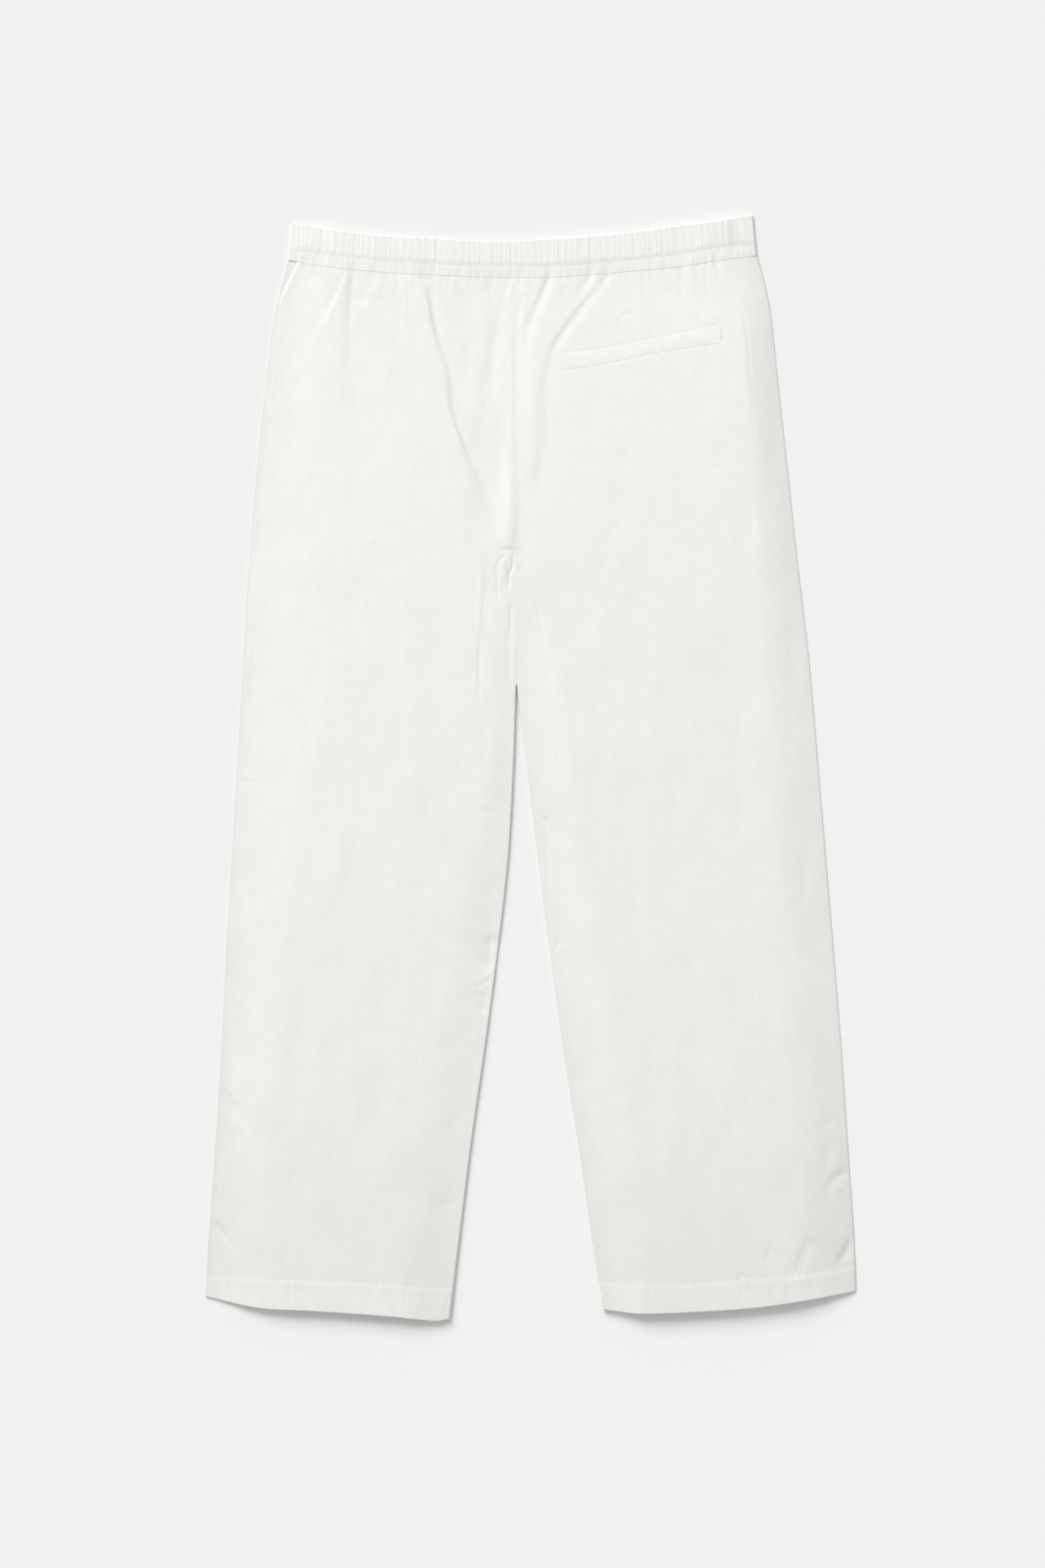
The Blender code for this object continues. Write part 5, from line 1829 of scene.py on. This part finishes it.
# --------------------------------------------------------------------- welt
def pocket_welt():
    """A folded strip on the right back panel, with rounded long edges."""
    cols, rows_face, steps = 300, 22, 6
    x0, x1 = WELT[0].x, WELT[-1].x
    half = WELT_WALL / 2
    t = np.linspace(0, 1, cols)
    xs = x0 + (x1 - x0) * t
    up, low = follow(WELT, "upper_y", xs) - 0.5 * half, follow(WELT, "lower_y", xs) + 0.5 * half
    # The ends are rounded off a little.
    pinch = 0.9 * (1 - ease((xs - x0) / 2.0)) + 0.9 * (1 - ease((x1 - xs) / 2.0))
    up, low = up - pinch, low + pinch
    p = np.linspace(0, 1, rows_face)
    x = np.broadcast_to(xs, (rows_face, cols))
    y = low[None, :] + (up - low)[None, :] * p[:, None]
    under = top_height(RIGHT, x, y) - pocket_relief(x, y)
    # It lies a little clear, and swells along its folded upper edge.
    swell = 0.08 * ease(p[:, None] / 0.5) * ease((1 - p[:, None]) / 0.4)
    fine = 0.05 * noise(x, y, 11.0, 6.0, 131) + 0.03 * noise(x, y, 4.0, 5.0, 132)
    z_in = under - 0.47
    ends = ease((x - x0) / 9.0) * ease((x1 - x) / 1.6)
    fade = ease((x - x0) / 16.0)
    flush = 0.08 * (1 - ease(p[:, None] / 0.3))
    z_out = z_in + WELT_WALL - flush - 0.1 * (1 - ends) - 0.09 * (1 - fade) + (swell + fine) * ends
    outer, inner = np.stack([x, y, z_out], -1), np.stack([x, y, z_in], -1)
    rings = [outer[k] for k in range(rows_face)]

    def edge(k, way):
        mid = (outer[k] + inner[k]) / 2
        for j in range(1, steps):
            a = math.pi * j / steps
            ring = mid.copy()
            ring[:, 1] += way * 0.5 * half * math.sin(a)
            ring[:, 2] += (outer[k, :, 2] - inner[k, :, 2]) / 2 * math.cos(a)
            yield ring

    rings += list(edge(-1, 1.0))
    rings += [inner[k] for k in (rows_face - 1, rows_face // 2, 0)]
    rings += list(edge(0, -1.0))[::-1]
    grid = np.stack(rings, 0)
    rows = grid.shape[0]
    ids = np.arange(rows * cols).reshape(rows, cols)
    nxt = np.roll(ids, -1, axis=0)
    quads = np.stack([ids[:, :-1], ids[:, 1:], nxt[:, 1:], nxt[:, :-1]], -1).reshape(-1, 4)
    caps = [list(map(int, ids[:, 0])), list(map(int, ids[::-1, -1]))]
    mesh, loops = new_mesh("linen_back_pocket_welt", grid.reshape(-1, 3), [quads, caps])
    # The strip is cut across the panel's weave and leans with the pocket.
    uu = grid[..., 0] + 0.23 * grid[..., 1] + 4700.0
    vv = grid[..., 1] - 0.23 * grid[..., 0] + 300.0
    cloth = np.stack([uu, vv, np.zeros_like(uu)], -1).reshape(-1, 3)
    deep = 1.0 + 2.5 * ease((50.0 - grid[..., 0]) / 26.0) + 0.8 * noise(grid[..., 0], grid[..., 1], 18.0, 9.0, 153)
    # Painted shade on its two long folds, as on every folded edge.
    deep[rows_face - 1 : rows_face + steps] += 7.0
    set_point_values(mesh, cloth, np.full(rows * cols, 1.0), deep.reshape(-1))
    corner_r = np.stack([np.repeat(np.arange(rows), cols - 1) + k for k in (0, 0, 1, 1)], 1)
    corner_c = np.stack([np.tile(np.arange(cols - 1), rows) + k for k in (0, 1, 1, 0)], 1)
    uv = np.stack([0.01 + 0.98 * corner_c / (cols - 1), 0.06 + 0.9 * corner_r / rows], -1)
    spare = np.linspace(0, 1, rows)
    cap = np.stack([0.02 + 0.01 * np.cos(6.28 * spare), 0.02 + 0.01 * np.sin(6.28 * spare)], -1)
    far = cap[::-1] + np.array([0.1, 0.0])
    uv = np.concatenate([uv.reshape(-1, 2), cap, far])
    layer = mesh.uv_layers.new(name="OFBake")
    layer.data.foreach_set("uv", uv.astype(np.float32).reshape(-1))
    return put("linen_back_pocket_welt", mesh, linen_material)


# ----------------------------------------------------------------- stitches
def stitch_row(points, up, pitch=3.0, length=2.1, wide=0.42, high=0.3, seed=5):
    """Small rounded stitches along a line of points on the cloth."""
    rnd = np.random.RandomState(seed)
    gaps = np.linalg.norm(np.diff(points, axis=0), axis=1)
    run = np.concatenate([[0], np.cumsum(gaps)])
    places = np.arange(pitch, run[-1] - pitch / 2, pitch)
    places = places + rnd.uniform(-0.12, 0.12, len(places))
    found_v, found_f, count = [], [], 0
    rings, sides = 5, 6
    for at in places:
        ends = np.array(
            [[np.interp(at + d, run, points[:, k]) for k in range(3)] for d in (-length / 2, length / 2)]
        )
        way = unit(ends[1] - ends[0])
        n = unit(np.array([np.interp(at, run, up[:, k]) for k in range(3)]))
        side = unit(np.cross(way, n))
        mid = ends.mean(0)
        turn = rnd.uniform(-0.08, 0.08)
        way, side = unit(way + side * turn), unit(side - way * turn)
        verts = [mid - way * length / 2 - n * 0.12]
        for r in range(1, rings):
            a = math.pi * r / rings
            centre = mid - way * length / 2 * math.cos(a) + n * (0.16 * math.sin(a) - 0.1)
            fat = math.sin(a) ** 0.6
            for s in range(sides):
                b = 2 * math.pi * s / sides
                verts.append(centre + fat * (side * wide / 2 * math.cos(b) + n * high / 2 * math.sin(b)))
        verts.append(mid + way * length / 2 - n * 0.12)
        found_v += verts
        first, last = count, count + len(verts) - 1
        for s in range(sides):
            t = (s + 1) % sides
            found_f.append((first, first + 1 + t, first + 1 + s))
            for r in range(rings - 2):
                a, b = first + 1 + r * sides, first + 1 + (r + 1) * sides
                found_f.append((a + s, a + t, b + t, b + s))
            a = first + 1 + (rings - 2) * sides
            found_f.append((last, a + s, a + t))
        count += len(verts)
    return np.array(found_v), found_f


def stitches(name, rows, **shape):
    verts, faces, count = [], [], 0
    for points, up, seed in rows:
        v, f = stitch_row(points, up, seed=seed, **shape)
        verts.append(v)
        faces += [tuple(i + count for i in ring) for ring in f]
        count += len(v)
    verts = np.concatenate(verts)
    mesh, loops = new_mesh(name, verts, [faces])
    none = np.zeros(len(verts))
    set_point_values(mesh, verts + np.array([900.0, 900.0, 0.0]), none, none)
    return put(name, mesh, sewing_thread)


def on_top(side, xs, ys):
    e = 0.4
    z = top_height(side, xs, ys)
    sx = (top_height(side, xs + e, ys) - top_height(side, xs - e, ys)) / (2 * e)
    sy = (top_height(side, xs, ys + e) - top_height(side, xs, ys - e)) / (2 * e)
    return np.stack([xs, ys, z], -1), unit(np.stack([-sx, -sy, np.ones_like(z)], -1))


def hem_stitches(side):
    table = HEM_STITCH[side]
    x0 = float(outer_x(side, -495.0)) - sign(side) * 2.5
    x1 = float(inner_x(side, -500.0)) + sign(side) * 3.5
    xs = np.linspace(x0, x1, 400)
    ys = follow(table, "y", xs)
    points, up = on_top(side, xs, ys)
    low = np.stack([xs, ys, under_height(side, xs, ys) + 0.12], -1)
    down = np.zeros_like(low)
    down[:, 2] = -1.0
    rows = [(points, up, 5), (low, down, 6)]
    return stitches("hem_stitches_" + side, rows, wide=0.34, high=0.16)


def band_stitches(outer, is_back, is_front):
    """The row between the elastic and the cord channel, front and back."""
    rows = []
    for chosen, seed, z_way in ((is_back, 7, 1.0), (is_front, 8, -1.0)):
        cols = np.nonzero(chosen)[0]
        part = outer[:, cols]
        order = np.argsort(part[0, :, 0])
        part = part[:, order]
        keep = (part[0, :, 0] > BAND_LEFT[0] + 5) & (part[0, :, 0] < BAND_RIGHT[0] - 5)
        part = part[:, keep]
        line = follow(BAND_STITCH, "y", part[0, :, 0])
        found = []
        for c in range(part.shape[1]):
            ys = part[:, c, 1]
            found.append([np.interp(line[c], ys, part[:, c, k]) for k in range(3)])
        found = np.array(found)
        if z_way < 0:
            found[:, 2] = np.maximum(found[:, 2], 0.14)
        up = np.zeros_like(found)
        up[:, 2] = z_way
        rows.append((found, up, seed))
    return stitches("waistband_stitches", rows)


def pocket_stitches():
    rows = []
    xs = np.linspace(WELT[0].x + 1.0, WELT[-1].x + 1.0, 240)
    ys = follow(WELT, "upper_y", xs) + 3.4
    points, up = on_top(RIGHT, xs, ys)
    rows.append((points, up, 9))
    return stitches("pocket_stitches", rows)


# ---------------------------------------------------------------- the pieces
def declare(piece, node):
    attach(piece, "root")
    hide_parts(node)


fronts = {side: front_panel(side) for side in (LEFT, RIGHT)}
backs = {side: back_panel(side) for side in (LEFT, RIGHT)}
band, band_outer, band_back, band_front = waistband()
welt = pocket_welt()
sewn = {side: hem_stitches(side) for side in (LEFT, RIGHT)}
sewn["band"] = band_stitches(band_outer, band_back, band_front)
sewn["pocket"] = pocket_stitches()
for name, piece in sewn.items():
    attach(piece, "root")

floor_mesh = bpy.data.meshes.new("floor")
reach = 4.0
floor_mesh.from_pydata(
    [(-reach, -reach, -0.00003), (reach, -reach, -0.00003), (reach, reach, -0.00003), (-reach, reach, -0.00003)],
    [],
    [(0, 1, 2, 3)],
)
floor = bpy.data.objects.new("floor", floor_mesh)
bpy.context.scene.collection.objects.link(floor)

for side in (LEFT, RIGHT):
    declare(
        fronts[side],
        "front_panel_" + side,
    )
    declare(
        backs[side],
        "back_panel_" + side,
    )
declare(band, "waistband")
declare(welt, "back_pocket_welt")

# ------------------------------------------------------------ light, camera
FILL = 0.555
KEY_AT = np.array([-4.10, 7.72, 5.68])
KEY_SIZE = 5.4
KEY_SHARE = 0.505
world = bpy.data.worlds.new("studio")
bpy.context.scene.world = world
world.use_nodes = True
sky = world.node_tree.nodes["Background"]
sky.inputs["Color"].default_value = (1.0, 1.0, 1.0, 1.0)
sky.inputs["Strength"].default_value = FILL


def key_light(x, y):
    """Light of the key lamp on the floor, where it is 1 W."""
    way = unit(-KEY_AT)
    a = unit(np.cross(way, [0.0, 0.0, 1.0]))
    b = np.cross(way, a)
    steps = (np.arange(9) + 0.5) / 9 - 0.5
    total = np.zeros_like(x)
    for u in steps:
        for v in steps:
            at = KEY_AT + KEY_SIZE * (a * u + b * v)
            ray = np.stack([x - at[0], y - at[1], np.full_like(x, -at[2])], -1)
            far = np.linalg.norm(ray, axis=-1)
            total += (ray @ way) * at[2] / far**4 / 81
    return total / math.pi**2


KEY_POWER = KEY_SHARE / float(key_light(np.zeros(1), np.zeros(1))[0])
key_data = bpy.data.lights.new("key", "AREA")
key_data.shape = "SQUARE"
key_data.size = KEY_SIZE
key_data.energy = KEY_POWER
key = bpy.data.objects.new("key", key_data)
bpy.context.scene.collection.objects.link(key)
key.location = KEY_AT
key.rotation_mode = "QUATERNION"
key.rotation_quaternion = Vector(-KEY_AT).to_track_quat("-Z", "Y")

# The floor's paint evens out the lamp's falling light.
FLOOR_TONE = 0.879
fx, fy = np.meshgrid(np.linspace(-0.8, 0.8, 17), np.linspace(-1.1, 1.1, 23))
fx, fy = fx.ravel(), fy.ravel()
needed = FLOOR_TONE / (FILL + KEY_POWER * key_light(fx, fy))
terms = np.stack([np.ones_like(fx), fx, fy, fx * fx, fx * fy, fy * fy], 1)
paint = np.linalg.lstsq(terms, needed, rcond=None)[0]
floor_material = bpy.data.materials.new("studio_floor")
floor_tree, floor_shader = nodes_of(floor_material)
floor_mesh.materials.append(floor_material)
where = floor_tree.nodes.new("ShaderNodeTexCoord")
split = floor_tree.nodes.new("ShaderNodeSeparateXYZ")
floor_tree.links.new(where.outputs["Object"], split.inputs[0])
fx, fy = split.outputs[0], split.outputs[1]
grey = math_node(floor_tree, "MULTIPLY_ADD", fx, float(paint[1]), float(paint[0]))
grey = math_node(floor_tree, "MULTIPLY_ADD", fy, float(paint[2]), grey)
for k, (a, b) in enumerate(((fx, fx), (fx, fy), (fy, fy))):
    product = math_node(floor_tree, "MULTIPLY", a, b)
    grey = math_node(floor_tree, "MULTIPLY_ADD", product, float(paint[3 + k]), grey)
grey = math_node(floor_tree, "MINIMUM", grey, 0.97)
grey = math_node(floor_tree, "MAXIMUM", grey, 0.6)
pack = floor_tree.nodes.new("ShaderNodeCombineColor")
for name in ("Red", "Green", "Blue"):
    floor_tree.links.new(grey, pack.inputs[name])
floor_tree.links.new(pack.outputs[0], floor_shader.inputs["Base Color"])
floor_shader.inputs["Roughness"].default_value = 1.0
floor_shader.inputs["Specular IOR Level"].default_value = 0.0

camera_data = bpy.data.cameras.new("camera")
camera_data.lens = 36.0 * 3.0 / 1.5168
camera_data.sensor_width = 36.0
camera = bpy.data.objects.new("camera", camera_data)
bpy.context.scene.collection.objects.link(camera)
camera.location = (-0.0079 + 0.00023, -0.0158 - 0.00023, 3.005)
camera.rotation_euler = (0.0, 0.0, 0.0)
bpy.context.scene.camera = camera
bpy.context.scene.view_settings.view_transform = "Standard"
